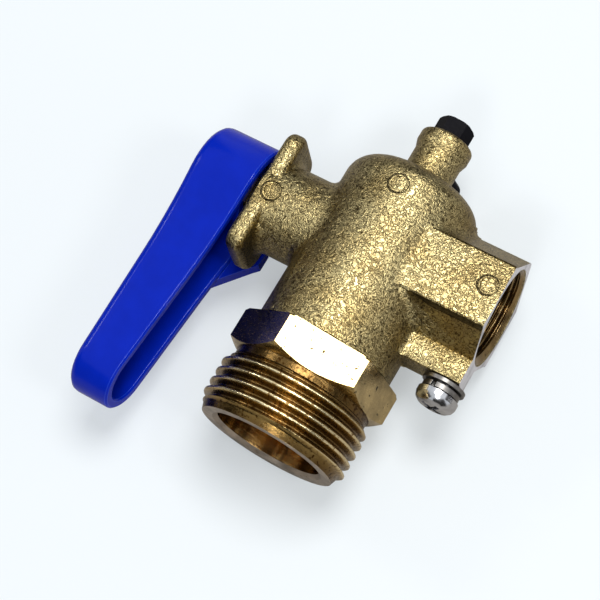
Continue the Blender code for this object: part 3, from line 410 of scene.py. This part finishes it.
def moulded_plastic(name, colour, roughness, gloss=0.5, grain=0.003 * MM):
    """Moulded plastic with a faint unevenness that breaks up its reflections."""
    material, tree_nodes, links, shader = new_material(name)
    point = object_point(tree_nodes)
    wave = noise(tree_nodes, links, point, 4.0 * MM, detail=2.0)
    fine = noise(tree_nodes, links, point, 0.4 * MM, detail=1.0)
    dark = tuple(0.88 * part for part in colour)
    links.new(ramp(tree_nodes, links, wave, [(0.3, dark), (0.7, colour)]), shader.inputs["Base Color"])
    links.new(spread(tree_nodes, links, fine, 0.3, 0.7, roughness - 0.04, roughness + 0.06),
              shader.inputs["Roughness"])
    shader.inputs["Specular IOR Level"].default_value = gloss
    first = bump(tree_nodes, links, wave, 0.02 * MM)
    links.new(bump(tree_nodes, links, fine, grain, first), shader.inputs["Normal"])
    return material


def plated_metal(name, colour, roughness):
    """Bright plating with faint smears."""
    material, tree_nodes, links, shader = new_material(name)
    point = object_point(tree_nodes)
    smear = noise(tree_nodes, links, point, 1.5 * MM, detail=3.0)
    dark = tuple(0.8 * part for part in colour)
    links.new(ramp(tree_nodes, links, smear, [(0.35, dark), (0.6, colour)]), shader.inputs["Base Color"])
    links.new(spread(tree_nodes, links, smear, 0.3, 0.7, roughness, roughness + 0.1),
              shader.inputs["Roughness"])
    shader.inputs["Metallic"].default_value = 1.0
    links.new(bump(tree_nodes, links, smear, 0.01 * MM), shader.inputs["Normal"])
    return material


CAST = cast_brass()
# A dark copy of the casting for painted shade: the rings round the marks and the bands beside the pads
CAST_PAINTED_SHADE = cast_brass("brass_painted_shade", 0.22)
TURNED = machined_brass()
THREAD = thread_brass()
BORE = bore_brass()
# The socket's thread is a darker brass: painted shade inside the outlet
SOCKET = machined_brass("socket_thread_brass", colour=(0.34, 0.23, 0.10), roughness=0.2)
# A near-black brass for the stem: painted shade, as it shows only in the gap between the lever's hub and the
# stop bar
STEM_BRASS_PAINTED_SHADE = machined_brass("stem_brass_painted_shade", colour=(0.10, 0.075, 0.045), roughness=0.4)
FACED = faced_brass()
DULL_FACE = dull_face_brass()
BLUE = moulded_plastic("blue_plastic_gloss", (0.001, 0.016, 0.40), 0.18, gloss=0.12, grain=0.0008 * MM)
# A lighter blue for the lever's rounded edges: a painted highlight along its rims
BLUE_PAINTED_HIGHLIGHT = moulded_plastic("blue_plastic_painted_highlight", (0.010, 0.060, 0.60), 0.2, gloss=0.6, grain=0.0008 * MM)
BLACK = moulded_plastic("black_plastic_satin", (0.005, 0.005, 0.007), 0.32, gloss=0.02)
SEAL = moulded_plastic("white_seal_plastic", (0.85, 0.85, 0.82), 0.5)
RUBBER = moulded_plastic("black_rubber_ring", (0.02, 0.02, 0.02), 0.65)
PLATED = plated_metal("bright_plated_steel", (0.58, 0.58, 0.60), 0.12)
DARK_STEEL = plated_metal("dark_washer_steel", (0.20, 0.19, 0.18), 0.3)
CHROME = plated_metal("ball_chrome_polished", (0.85, 0.85, 0.87), 0.06)


# Inlet connector with its male thread

def thread_profile(phase, depth):
    """Depth below the crest at a phase of 0 to 1 along the pitch, with eased flanks.

    Of half a pitch, root_share is flat root, flank_share is flank, and the rest is flat crest.
    """
    root_share = 0.14
    flank_share = 0.72
    across = np.abs((phase % 1.0) - 0.5) * 2.0
    flank = np.clip((across - root_share) / flank_share, 0.0, 1.0)
    smooth = flank * flank * (3.0 - 2.0 * flank)
    return depth * (1.0 - (0.75 * flank + 0.25 * smooth))


def connector_profile():
    """Stations round the connector as functions of the angle: hexagon, relief, bore, cone and spigot."""
    corner = HEX_ACROSS_FLATS / math.sqrt(3.0)
    flat = HEX_ACROSS_FLATS / 2.0
    angle = np.linspace(0.0, 2.0 * math.pi, 288, endpoint=False) + HEX_TURN
    folded = (angle - HEX_TURN) % (math.pi / 3.0) - math.pi / 6.0
    hexagon = flat / np.cos(folded)
    ones = np.ones_like(angle)
    share = (hexagon - flat + HEX_FACE_STEP) / (corner - flat + 2.0 * HEX_FACE_STEP)
    low = THREAD_LENGTH + HEX_CHAMFER_RISE * share
    high = HEX_TOP - HEX_TOP_EASE * share
    stations = [
        (RELIEF_RADIUS * ones, THREAD_END * ones),
        (RELIEF_RADIUS * ones, THREAD_LENGTH * ones),
        ((flat - HEX_FACE_STEP) * ones, THREAD_LENGTH * ones),
        (hexagon, low),
        (hexagon, low + (high - low) * 0.33),
        (hexagon, low + (high - low) * 0.66),
        (hexagon, high),
        (np.minimum(hexagon, corner - HEX_TOP_EASE), HEX_TOP * ones),
        (SPIGOT_FOOT_RADIUS * ones, HEX_TOP * ones),
        (SPIGOT_RADIUS * ones, HEX_TOP * ones),
        (SPIGOT_RADIUS * ones, SPIGOT_TOP * ones),
        (SEAT_POCKET_RADIUS * ones, SPIGOT_TOP * ones),
        (SEAT_POCKET_RADIUS * ones, SEAT_POCKET_FLOOR * ones),
        (THROAT_RADIUS * ones, SEAT_POCKET_FLOOR * ones),
        (THROAT_RADIUS * ones, (BORE_DEPTH + CONE_LENGTH) * ones),
        (0.5 * (THROAT_RADIUS + BORE_RADIUS) * ones, (BORE_DEPTH + 0.5 * CONE_LENGTH) * ones),
        (BORE_RADIUS * ones, BORE_DEPTH * ones),
        (BORE_RADIUS * ones, 0.5 * BORE_DEPTH * ones),
        (BORE_RADIUS * ones, MOUTH_EASE * ones),
        ((BORE_RADIUS + MOUTH_EASE) * ones, 0.0 * ones),
        (END_FACE_RADIUS * ones, 0.0 * ones),
        (END_FACE_RADIUS * ones, THREAD_END * ones),
    ]
    radius = np.stack([pair[0] for pair in stations])
    height = np.stack([pair[1] for pair in stations])
    return np.stack([radius * np.cos(angle), radius * np.sin(angle), height], axis=-1)


def build_connector():
    """The turned and milled connector; its end face and bore have finishes of their own, and the relief
    under the hexagon takes the thread's darkest colour as painted shade.
    """
    mesh = grid_mesh("connector_turned", connector_profile())
    tidy_mesh(mesh)
    sharp_angle = 25.0
    piece = new_piece("connector_turned", mesh, "tap_body", TURNED, sharp_angle)
    soften(piece, 0.18 * MM, 2, sharp_angle)
    for material in (DULL_FACE, BORE, THREAD):
        mesh.materials.append(material)
    end_face, bore, relief = 1, 2, 3
    for polygon in mesh.polygons:
        inside = math.hypot(polygon.center.x, polygon.center.y) < BORE_RADIUS + 0.3 * MM
        if polygon.normal.z < -0.6 and polygon.center.z < MOUTH_EASE:
            polygon.material_index = end_face
        elif inside and polygon.center.z < BORE_DEPTH + CONE_LENGTH:
            polygon.material_index = bore
        # The relief under the hexagon takes the thread's material, whose darkest colour there is painted
        # shade
        elif THREAD_END < polygon.center.z < THREAD_LENGTH + 0.05 * MM:
            polygon.material_index = relief
    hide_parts("end_connector")


def sleeve_mesh(name, radius_of, pitch, low, high, wall, steps_per_turn, around):
    """Helical sleeve: column k of the grid is at angle 2 pi k / n, and its rows are shifted along the helix.

    Each column samples the same heights plus pitch * angle / (2 pi), clipped to the two ends, so
    grid lines follow the crests; the seam joins row r of the last column to row r + steps of the first.
    A plain wall at the radius wall closes the sleeve on its other side.
    """
    turns = (high - low) / pitch
    rows = int((turns + 2.0) * steps_per_turn) + 1
    phase = -1.0 + np.arange(rows) / steps_per_turn
    angle = 2.0 * math.pi * np.arange(around) / around
    p, a = np.meshgrid(phase, angle, indexing="ij")
    height = np.clip(low + pitch * (p + a / (2.0 * math.pi)), low, high)
    radius = radius_of(p, height)
    outside = np.stack([radius * np.cos(a), radius * np.sin(a), height], axis=-1).reshape(-1, 3)
    row, column = np.meshgrid(np.arange(rows - 1), np.arange(around - 1), indexing="ij")
    index = row * around + column
    faces = np.stack([index, index + 1, index + around + 1, index + around], axis=-1).reshape(-1, 4)
    seam_row = np.arange(rows - 1 - steps_per_turn)
    last = seam_row * around + around - 1
    first = (seam_row + steps_per_turn) * around
    seam = np.stack([last, first, first + around, last + around], axis=-1)
    count = outside.shape[0]
    wall_low = np.stack([wall * np.cos(angle), wall * np.sin(angle), np.full(around, low)], axis=-1)
    wall_high = wall_low + np.array([0.0, 0.0, high - low])
    ring = np.arange(around)
    following = (ring + 1) % around
    first_row = ring
    last_row = (rows - 1) * around + ring
    low_ring = count + ring
    high_ring = count + around + ring
    low_cap = np.stack([first_row, low_ring, low_ring[following], first_row[following]], axis=-1)
    high_cap = np.stack([last_row, last_row[following], high_ring[following], high_ring], axis=-1)
    inside = np.stack([low_ring, high_ring, high_ring[following], low_ring[following]], axis=-1)
    verts = np.concatenate([outside, wall_low, wall_high])
    mesh = bpy.data.meshes.new(name)
    mesh.from_pydata(verts.tolist(), [], np.concatenate([faces, seam, low_cap, high_cap, inside]).tolist())
    tidy_mesh(mesh, merge=2e-6)
    return mesh


def male_radius(phase, height):
    """Crest radius less the thread's depth, with a plain lip at the end and the run-out at the relief."""
    lip_slope = 0.35
    lead_in_slope = 1.5
    lip_fall = 3.0
    radius = THREAD_RADIUS - thread_profile(phase, THREAD_DEPTH)
    foot = RELIEF_RADIUS - BURIED
    past = np.maximum(height - LIP_LENGTH, 0.0)
    lip = foot + lip_slope * np.minimum(height, LIP_LENGTH)
    low_end = lip + lead_in_slope * past
    high_end = foot + (THREAD_END - height)
    return np.maximum(np.minimum(radius, np.minimum(low_end, high_end)), lip - lip_fall * past)


def female_radius(phase, depth):
    """Major radius less the crest's height, opened by a chamfer at the mouth and a run-out at the bottom."""
    chamfer_slope = 1.2
    wall_gap = 0.05 * MM
    crest = SOCKET_RADIUS - wall_gap - SOCKET_THREAD_DEPTH
    opened = SOCKET_RADIUS + BURIED
    radius = crest + thread_profile(phase, SOCKET_THREAD_DEPTH)
    mouth = opened - chamfer_slope * depth
    bottom = opened - chamfer_slope * (SOCKET_THREAD_LENGTH - depth)
    return np.maximum(radius, np.maximum(mouth, bottom))


def build_threads():
    """Male thread on the connector and female thread in the outlet's socket."""
    male = sleeve_mesh("inlet_thread_helix", male_radius, THREAD_PITCH, low=0.03 * MM, high=THREAD_END,
                       wall=THREAD_RADIUS - 2.4 * MM, steps_per_turn=16, around=240)
    new_piece("inlet_thread_helix", male, "tap_body", THREAD, 60.0)
    female = sleeve_mesh("outlet_thread_helix", female_radius, SOCKET_PITCH, low=0.0,
                         high=SOCKET_THREAD_LENGTH, wall=SOCKET_RADIUS + 0.4 * MM,
                         steps_per_turn=14, around=200)
    mouth = OUTLET_FACE - 0.25 * MM
    into_socket = (Matrix.Translation((mouth, 0.0, AXIS_HEIGHT))
                   @ Matrix.Rotation(math.radians(-90.0), 4, "Y"))
    female.transform(into_socket)
    new_piece("outlet_thread_helix", female, "tap_body", SOCKET, 60.0)


# The stop bar, with rounder edges than in the solid

def bar_outline():
    """Points and outward normals of the bar's outline in (y, z) about the stem's axis."""
    half = BAR_LENGTH / 2.0
    corners = [
        (-BAR_FRONT + BAR_FRONT_CORNER, half - BAR_FRONT_CORNER, BAR_FRONT_CORNER, 90.0),
        (-BAR_FRONT + BAR_FRONT_CORNER, BAR_FRONT_CORNER - half, BAR_FRONT_CORNER, 180.0),
        (BAR_BACK - BAR_BACK_CORNER, BAR_BACK_CORNER - half, BAR_BACK_CORNER, 270.0),
        (BAR_BACK - BAR_BACK_CORNER, half - BAR_BACK_CORNER, BAR_BACK_CORNER, 0.0),
    ]
    points = []
    normals = []
    for k, (y, z, radius, first) in enumerate(corners):
        for angle in np.radians(np.linspace(first, first + 90.0, 10)):
            normal = np.array([math.cos(angle), math.sin(angle)])
            points.append(np.array([y, z]) + radius * normal)
            normals.append(normal)
        side_start = points[-1]
        next_y, next_z, next_radius, _ = corners[(k + 1) % len(corners)]
        side_end = np.array([next_y, next_z]) + next_radius * normal
        for share in np.linspace(0.0, 1.0, 14)[1:-1]:
            points.append(side_start + share * (side_end - side_start))
            normals.append(normal)
    return points, normals


def build_soft_bar(casting_piece):
    """Closed ring round the stem with a rounded rim; the casting's own bar shrinks inside it.

    A row of the grid is one point P of the outline with its normal n. Its section runs from a circle round
    the stem over the outer face, over P - r n + r sin(a) n at x = edge - r cos(a) for a of 0 to pi, where
    edge is r inside the nearer face, and back to the circle over the inner face.
    """
    middle = -BAR_OUTER_FACE + BAR_THICKNESS / 2.0
    half = BAR_THICKNESS / 2.0 - BAR_FACE_EASE
    rows = []
    for point, normal in zip(*bar_outline()):
        inner = point / np.linalg.norm(point) * BAR_EYE_RADIUS
        row = [(middle - half, *inner)]
        for a in np.linspace(0.0, math.pi, 14):
            place = point + BAR_RIM * (math.sin(a) - 1.0) * normal
            edge = middle - math.copysign(half - BAR_RIM, math.cos(a))
            row.append((edge - BAR_RIM * math.cos(a), *place))
        row.append((middle + half, *inner))
        rows.append(row)
    points = np.array(rows)
    points[:, :, 2] += AXIS_HEIGHT
    mesh = grid_mesh("stop_bar_soft", points)
    tidy_mesh(mesh)
    new_piece("stop_bar_soft", mesh, "tap_body", CAST, 50.0)
    neck_margin = 0.1 * MM
    face_margin = 0.2 * MM
    for vert in casting_piece.data.vertices:
        x, y, z = vert.co
        up = z - AXIS_HEIGHT
        outside_neck = math.hypot(y, up) > NECK_RADIUS + neck_margin
        if x < middle + half + face_margin and outside_neck:
            vert.co = (middle + BAR_SHRINK[0] * (x - middle), BAR_SHRINK[1] * y,
                       AXIS_HEIGHT + BAR_SHRINK[2] * up)


# Casting marks: small raised rings that follow the surface

def ring_on_casting(name, casting, centre, radius, tube, thick_side, material):
    """Ring seen from -Y, of nearly round section; its path is dropped onto the casting along +Y.

    The tube is thickest towards the angle thick_side and half as thick on the other side.
    """
    forwards = np.array([0.0, -1.0, 0.0])
    around = np.linspace(0.0, 2.0 * math.pi, 64, endpoint=False)
    section = np.linspace(0.0, 2.0 * math.pi, 10, endpoint=False)
    points = np.zeros((len(around), len(section), 3))
    for k, angle in enumerate(around):
        outwards = np.array([math.cos(angle), 0.0, math.sin(angle)])
        start = np.array(centre) + outwards * radius + forwards * 6.0 * MM
        place = casting.ray_cast(Vector(start), -Vector(forwards))[0]
        thickness = tube * (0.75 + 0.25 * math.cos(angle - thick_side))
        out = np.outer(np.cos(section), outwards) + np.outer(np.sin(section), forwards) * 0.8
        points[k] = np.array(place) + thickness * out
    mesh = grid_mesh(name, points)
    tidy_mesh(mesh)
    new_piece(name, mesh, "tap_body", material, 80.0)


def build_marks():
    """Three raised rings, each with a ring of painted shadow round it: beside the stop bar, on the barrel
    and on the outlet.
    """
    casting_mesh = nodes["valve_body"].data
    casting = BVHTree.FromPolygons([vert.co[:] for vert in casting_mesh.vertices],
                                   [tuple(polygon.vertices) for polygon in casting_mesh.polygons])
    picture_left = math.radians(200.0)
    for place, centre in MARK_PLACES.items():
        ring_on_casting("cast_ring_" + place, casting, centre, MARK_RADIUS, MARK_TUBE, picture_left, CAST)
        # A dark ring round each mark, thickest towards the picture's left: painted shadow
        ring_on_casting("painted_shadow_ring_" + place, casting, centre, SHADOW_RING_RADIUS, SHADOW_RING_TUBE,
                        picture_left, CAST_PAINTED_SHADE)


# Cast fillets where the outlet and the rib leave the barrel

def fillet_bead(normal, distance, start, end, radius, end_radius):
    """Rolling-ball fillet between the barrel and a wall that runs along X, as a closed bead.

    The wall is the plane normal . (y, z) = distance about the outlet's axis, and the bead follows it from
    start to end along its line. The ball's centre lies distance + radius out from the wall's plane and
    BODY_RADIUS + radius from the barrel's axis; the arc joins the ball's two points of contact.
    """
    normal = np.array(normal)
    along = np.array([-normal[1], normal[0]])
    share = np.linspace(0.0, 1.0, FILLET_STEPS)
    sizes = end_radius + (radius - end_radius) * np.sqrt(np.sin(np.pi * share))
    rows = []
    for place, size in zip(start + (end - start) * share, sizes):
        foot = distance * normal + place * along
        centre = foot + size * normal
        x = math.sqrt((BODY_RADIUS + size) ** 2 - centre[0] ** 2)
        ball = np.array([x, centre[0], centre[1]])
        wall = np.array([x, foot[0], foot[1]]) - ball
        barrel = -np.array([x, centre[0], 0.0]) * size / (BODY_RADIUS + size)
        turn = math.acos(float(wall @ barrel) / size ** 2)
        row = []
        for step in np.linspace(0.0, 1.0, FILLET_ARC_STEPS):
            blend = (math.sin((1.0 - step) * turn) * wall + math.sin(step * turn) * barrel) / math.sin(turn)
            row.append(ball + blend * (1.0 + FILLET_LIFT / size))
        corner = foot - FILLET_ROOT * normal
        inside = math.sqrt(BODY_RADIUS ** 2 - corner[0] ** 2) - FILLET_ROOT
        row.append(np.array([inside, corner[0], corner[1]]))
        rows.append(row)
    points = np.array(rows)
    points[:, :, 2] += AXIS_HEIGHT
    return points


def edge_band(side, lift, width):
    """Closed band of painted shade in the corner between a pad's step and the facet beside it.

    It tapers at its root. Its section goes from the step over the corner onto the facet and back inside.
    """
    half = OUTLET_ACROSS_FLATS / 2.0
    corner = np.array([side * half, lift * half / math.sqrt(3.0)])
    down = np.array([-0.5 * math.sqrt(3.0) * side, 0.5 * lift])
    out = np.array([0.5 * side, 0.5 * math.sqrt(3.0) * lift])
    edge = np.array([side * (PAD_ACROSS / 2.0 - 0.08 * MM), lift * PAD_WIDTH / 2.0])
    rows = []
    for share in np.linspace(0.0, 1.0, 40):
        x = BAND_START + (BAND_END - BAND_START) * share
        size = width * min(1.0, 0.15 + 3.0 * share)
        section = [
            edge,
            edge + (0.06 * MM) * out + 0.2 * (corner + size * down - edge),
            corner + 0.6 * size * down + 0.10 * MM * out,
            corner + size * down + 0.02 * MM * out,
            corner + size * down - 0.2 * MM * out,
            corner - 0.3 * MM * out,
        ]
        rows.append([np.array([x, point[0], point[1] + AXIS_HEIGHT]) for point in section])
    return np.array(rows)


def joined_strips(name, strips, material):
    """One piece of closed strips: each is a grid whose columns join and whose two ends are capped."""
    merged = bmesh.new()
    for points in strips:
        around = points.shape[1]
        rings = [[merged.verts.new(point) for point in row] for row in points]
        for low, high in zip(rings, rings[1:]):
            for k in range(around):
                following = (k + 1) % around
                merged.faces.new((low[k], low[following], high[following], high[k]))
        merged.faces.new(rings[0])
        merged.faces.new(rings[-1])
    bmesh.ops.recalc_face_normals(merged, faces=merged.faces)
    mesh = bpy.data.meshes.new(name)
    merged.to_mesh(mesh)
    merged.free()
    new_piece(name, mesh, "tap_body", material, 50.0)


def bar_fillet(side):
    """Rolling-ball fillet between the neck and the bar's inner face, above (1) or below (-1) the stem.

    At the angle t from Z about the stem the ball of radius r touches the neck at x = face + r and the
    face at NECK_RADIUS + r; the section is the arc between the two, closed by a point inside the corner.
    """
    face = -BAR_OUTER_FACE + BAR_THICKNESS - BAR_FACE_EASE
    neck = NECK_RADIUS + FILLET_LIFT
    rows = []
    for share in np.linspace(0.0, 1.0, FILLET_STEPS):
        t = math.radians(BAR_FILLET_FRONT + (BAR_FILLET_BACK - BAR_FILLET_FRONT) * share)
        size = BAR_FILLET_END + BAR_FILLET * math.sqrt(math.sin(math.pi * share))
        section = [(face + size - size * math.sin(a), neck + size - size * math.cos(a))
                   for a in np.linspace(0.0, 0.5 * math.pi, FILLET_ARC_STEPS)]
        section.append((face - FILLET_ROOT, NECK_RADIUS - FILLET_ROOT))
        rows.append([np.array([x, radius * math.sin(t), AXIS_HEIGHT + side * radius * math.cos(t)])
                     for x, radius in section])
    return np.array(rows)


def build_fillets():
    """Beads along the outlet's flats, the rib and the stop bar, and bands of painted shade beside the pads.
    """
    flat = OUTLET_ACROSS_FLATS / 2.0
    corner = flat / math.sqrt(3.0)
    beads = []
    bands = []
    for side in (-1.0, 1.0):
        outwards = (side, 0.0)
        beads.append(fillet_bead(outwards, PAD_ACROSS / 2.0, -PAD_WIDTH / 2.0, PAD_WIDTH / 2.0, *PAD_FILLET))
        for lift in (-1.0, 1.0):
            normal = (0.5 * side, 0.5 * math.sqrt(3.0) * lift)
            beads.append(fillet_bead(normal, flat, -corner, corner, *FACET_FILLET))
        beads.append(fillet_bead(outwards, RIB_HALF_WIDTH, side * -RIB_DROP, side * -flat, *RIB_FILLET))
        # Dark bands beside the pads' steps: painted shade
        bands.append(edge_band(side, -1.0, LOWER_BAND_WIDTH))
        bands.append(edge_band(side, 1.0, UPPER_BAND_WIDTH))
    joined_strips("outlet_fillets", beads, CAST)
    joined_strips("bar_fillets", [bar_fillet(side) for side in (-1.0, 1.0)], CAST)
    joined_strips("outlet_painted_shade_bands", bands, CAST_PAINTED_SHADE)


# Stage, lamps and camera

CAMERA_PLACE = Vector((87.1, -325.47, -59.58)) * MM
IMAGE_RIGHT = Vector((0.85695, 0.11651, 0.50205))
IMAGE_UP = Vector((-0.4353, -0.3579, 0.82608))
TOWARDS_CAMERA = Vector((0.27593, -0.92646, -0.25599))
TARGET = Vector((0.0, 0.0, 38.0 * MM))
CARD_BEARINGS = (15.0, 85.0, 155.0, 225.0, 295.0)
CARD_DISTANCE = 0.32
CARD_HALF_WIDTH = 0.17
CARD_HEIGHT = 0.26
SENSOR_WIDTH = 36.0
FOCAL_LENGTH = 102.06
STAGE_HALF_WIDTH = 1.2
STAGE_GAP = 0.3 * MM
OWN_PALENESS = 0.45


def mixed_shader(tree_nodes, links, share, first, second):
    """Two shaders mixed; a share of 1 is the second alone."""
    mix = tree_nodes.new("ShaderNodeMixShader")
    links.new(share, mix.inputs["Fac"])
    links.new(first, mix.inputs[1])
    links.new(second, mix.inputs[2])
    return mix.outputs["Shader"]


def flat_sheet(name, corners, material):
    """A flat four-cornered sheet."""
    mesh = bpy.data.meshes.new(name)
    mesh.from_pydata([tuple(corner) for corner in corners], [], [(0, 1, 2, 3)])
    mesh.materials.append(material)
    sheet = bpy.data.objects.new(name, mesh)
    bpy.context.scene.collection.objects.link(sheet)
    return sheet


def build_stage():
    """Pale surface that the tap lies on, behind it.

    The camera sees it partly by its own paleness, which softens the shadow and lights nothing. Mirrored in
    metal it is grey, and from behind it is clear.
    """
    material, tree_nodes, links, shader = new_material("pale_surface")
    shader.inputs["Base Color"].default_value = (0.73, 0.78, 0.82, 1.0)
    shader.inputs["Roughness"].default_value = 0.8
    pale = tree_nodes.new("ShaderNodeEmission")
    pale.inputs["Color"].default_value = (0.90, 0.945, 0.96, 1.0)
    material.cycles.emission_sampling = "NONE"
    mirrored = tree_nodes.new("ShaderNodeBsdfDiffuse")
    mirrored.inputs["Color"].default_value = (0.37, 0.355, 0.33, 1.0)
    clear = tree_nodes.new("ShaderNodeBsdfTransparent")
    rays = tree_nodes.new("ShaderNodeLightPath")
    paleness = tree_nodes.new("ShaderNodeMath")
    paleness.operation = "MULTIPLY"
    paleness.inputs[1].default_value = OWN_PALENESS
    links.new(rays.outputs["Is Camera Ray"], paleness.inputs[0])
    from_behind = tree_nodes.new("ShaderNodeNewGeometry").outputs["Backfacing"]
    look = mixed_shader(tree_nodes, links, paleness.outputs["Value"], shader.outputs["BSDF"],
                         pale.outputs["Emission"])
    look = mixed_shader(tree_nodes, links, rays.outputs["Is Glossy Ray"], look, mirrored.outputs["BSDF"])
    look = mixed_shader(tree_nodes, links, from_behind, look, clear.outputs["BSDF"])
    links.new(look, tree_nodes["Material Output"].inputs["Surface"])
    half = STAGE_HALF_WIDTH
    depth = cad_box[1][1] + STAGE_GAP
    corners = [(-half, depth, -half), (half, depth, -half), (half, depth, half), (-half, depth, half)]
    surface = flat_sheet("pale_surface", corners, material)


def place_in_view(right, up, near):
    """A point given in metres to the image's right, up and towards the camera, from the tap's middle."""
    return TARGET + IMAGE_RIGHT * right + IMAGE_UP * up + TOWARDS_CAMERA * near


def disk_lamp(name, towards, distance, size, watts, colour=(1.0, 1.0, 1.0)):
    """A round soft lamp in a direction given in the image's axes, facing the tap."""
    light = bpy.data.lights.new(name, "AREA")
    light.shape = "DISK"
    light.size = size
    light.energy = watts
    light.color = colour
    lamp = bpy.data.objects.new(name, light)
    lamp.location = place_in_view(*(Vector(towards).normalized() * distance))
    lamp.rotation_euler = (TARGET - lamp.location).to_track_quat("-Z", "Y").to_euler()
    bpy.context.scene.collection.objects.link(lamp)


def build_lamps():
    """A softbox that the front flat mirrors, two lamps near the camera, and two weak lamps at the sides."""
    disk_lamp("key_softbox", (0.094, 0.522, 0.848), 0.95, 0.45, 6.6, (1.0, 0.985, 0.96))
    disk_lamp("front_lamp", (0.46, -0.06, 0.88), 0.90, 0.22, 1.5)
    disk_lamp("low_lamp", (-0.24, -0.32, 0.92), 0.90, 0.22, 1.7)
    disk_lamp("left_lamp", (-0.71, 0.63, 0.34), 0.85, 0.16, 0.8)
    disk_lamp("right_lamp", (0.92, -0.13, 0.38), 0.80, 0.20, 0.8)


def build_dark_cards():
    """Black cards round the tap that give its round metal dark edges; the camera sees past them."""
    material, _, _, shader = new_material("black_card")
    shader.inputs["Base Color"].default_value = (0.02, 0.018, 0.016, 1.0)
    shader.inputs["Roughness"].default_value = 0.9
    table = cad_box[1][1]
    for k, bearing in enumerate(CARD_BEARINGS):
        turn = math.radians(bearing)
        outwards = Vector((math.cos(turn), 0.0, math.sin(turn)))
        along = Vector((-math.sin(turn), 0.0, math.cos(turn))) * CARD_HALF_WIDTH
        foot = Vector((0.0, table, AXIS_HEIGHT)) + outwards * CARD_DISTANCE
        top = Vector((0.0, -CARD_HEIGHT, 0.0))
        corners = [foot - along, foot + along, foot + along + top, foot - along + top]
        card = flat_sheet("black_card_%d" % k, corners, material)
        card.visible_camera = False
        card.visible_diffuse = False
        card.visible_shadow = False


def build_world():
    """Dim pale light all round; the camera, glossy rays and transmitted rays see a pale background."""
    world = bpy.data.worlds.new("studio")
    world.use_nodes = True
    bpy.context.scene.world = world
    tree_nodes = world.node_tree.nodes
    links = world.node_tree.links
    light = tree_nodes["Background"]
    light.inputs["Color"].default_value = (0.93, 0.96, 1.0, 1.0)
    light.inputs["Strength"].default_value = 0.30
    pale = tree_nodes.new("ShaderNodeBackground")
    pale.inputs["Color"].default_value = (0.86, 0.90, 0.93, 1.0)
    pale.inputs["Strength"].default_value = 0.9
    path = tree_nodes.new("ShaderNodeLightPath")
    seen = path.outputs["Is Camera Ray"]
    for kind in ("Is Glossy Ray", "Is Transmission Ray"):
        either = tree_nodes.new("ShaderNodeMath")
        either.operation = "MAXIMUM"
        links.new(seen, either.inputs[0])
        links.new(path.outputs[kind], either.inputs[1])
        seen = either.outputs["Value"]
    both = mixed_shader(tree_nodes, links, seen, light.outputs["Background"], pale.outputs["Background"])
    links.new(both, tree_nodes["World Output"].inputs["Surface"])


def build_camera():
    """Long lens; its frame is square, so the sensor's width is the picture's width."""
    data = bpy.data.cameras.new("camera")
    data.sensor_width = SENSOR_WIDTH
    data.lens = FOCAL_LENGTH
    data.clip_start = 0.01
    camera = bpy.data.objects.new("camera", data)
    turn = Matrix((IMAGE_RIGHT, IMAGE_UP, TOWARDS_CAMERA)).transposed().to_4x4()
    camera.matrix_world = Matrix.Translation(CAMERA_PLACE) @ turn
    bpy.context.scene.collection.objects.link(camera)
    bpy.context.scene.camera = camera


# Assembly

def dress_node(node, material):
    """Give a node that keeps its own mesh a better material."""
    nodes[node].material_slots[0].material = material


def mark_faced(piece):
    """Give the outlet's end face the faced finish."""
    mesh = piece.data
    mesh.materials.append(FACED)
    for polygon in mesh.polygons:
        if polygon.normal.x > 0.98 and polygon.center.x > OUTLET_FACE - 0.1 * MM:
            polygon.material_index = 1


def main():
    """The dressed tap on its stage."""
    bpy.context.scene.view_settings.view_transform = "Standard"
    body = refine_node("valve_body", "tap_body", CAST, bevel=0.35 * MM, segments=3)
    mark_faced(body)
    build_soft_bar(body)
    build_connector()
    build_threads()
    build_marks()
    build_fillets()
    # The lever's rounded edges take the lighter blue: a painted highlight
    refine_node("lever", "lever_set", BLUE, bevel=0.5 * MM, segments=4,
                edge_material=BLUE_PAINTED_HIGHLIGHT)
    refine_node("vent_plug", "plug", BLACK, bevel=0.2 * MM)
    refine_node("vent_spout", "tap_body", BLACK, bevel=0.15 * MM)
    refine_node("bonding_screw", "tap_body", PLATED, bevel=0.12 * MM)
    for node in ("spring_washer", "flat_washer"):
        refine_node(node, "tap_body", DARK_STEEL, bevel=0.12 * MM)
    for node in ("lever_screw", "lever_washer"):
        refine_node(node, "lever_set", PLATED, bevel=0.1 * MM)
    refine_node("stem", "lever_set", STEM_BRASS_PAINTED_SHADE, bevel=0.12 * MM)
    dress_node("ball", CHROME)
    for node in ("inlet_seat", "outlet_seat", "stem_thrust_washer"):
        dress_node(node, SEAL)
    for node in ("connector_o_ring", "stem_o_ring_1", "stem_o_ring_2", "vent_plug_o_ring"):
        dress_node(node, RUBBER)
    build_stage()
    build_lamps()
    build_dark_cards()
    build_world()
    build_camera()


main()
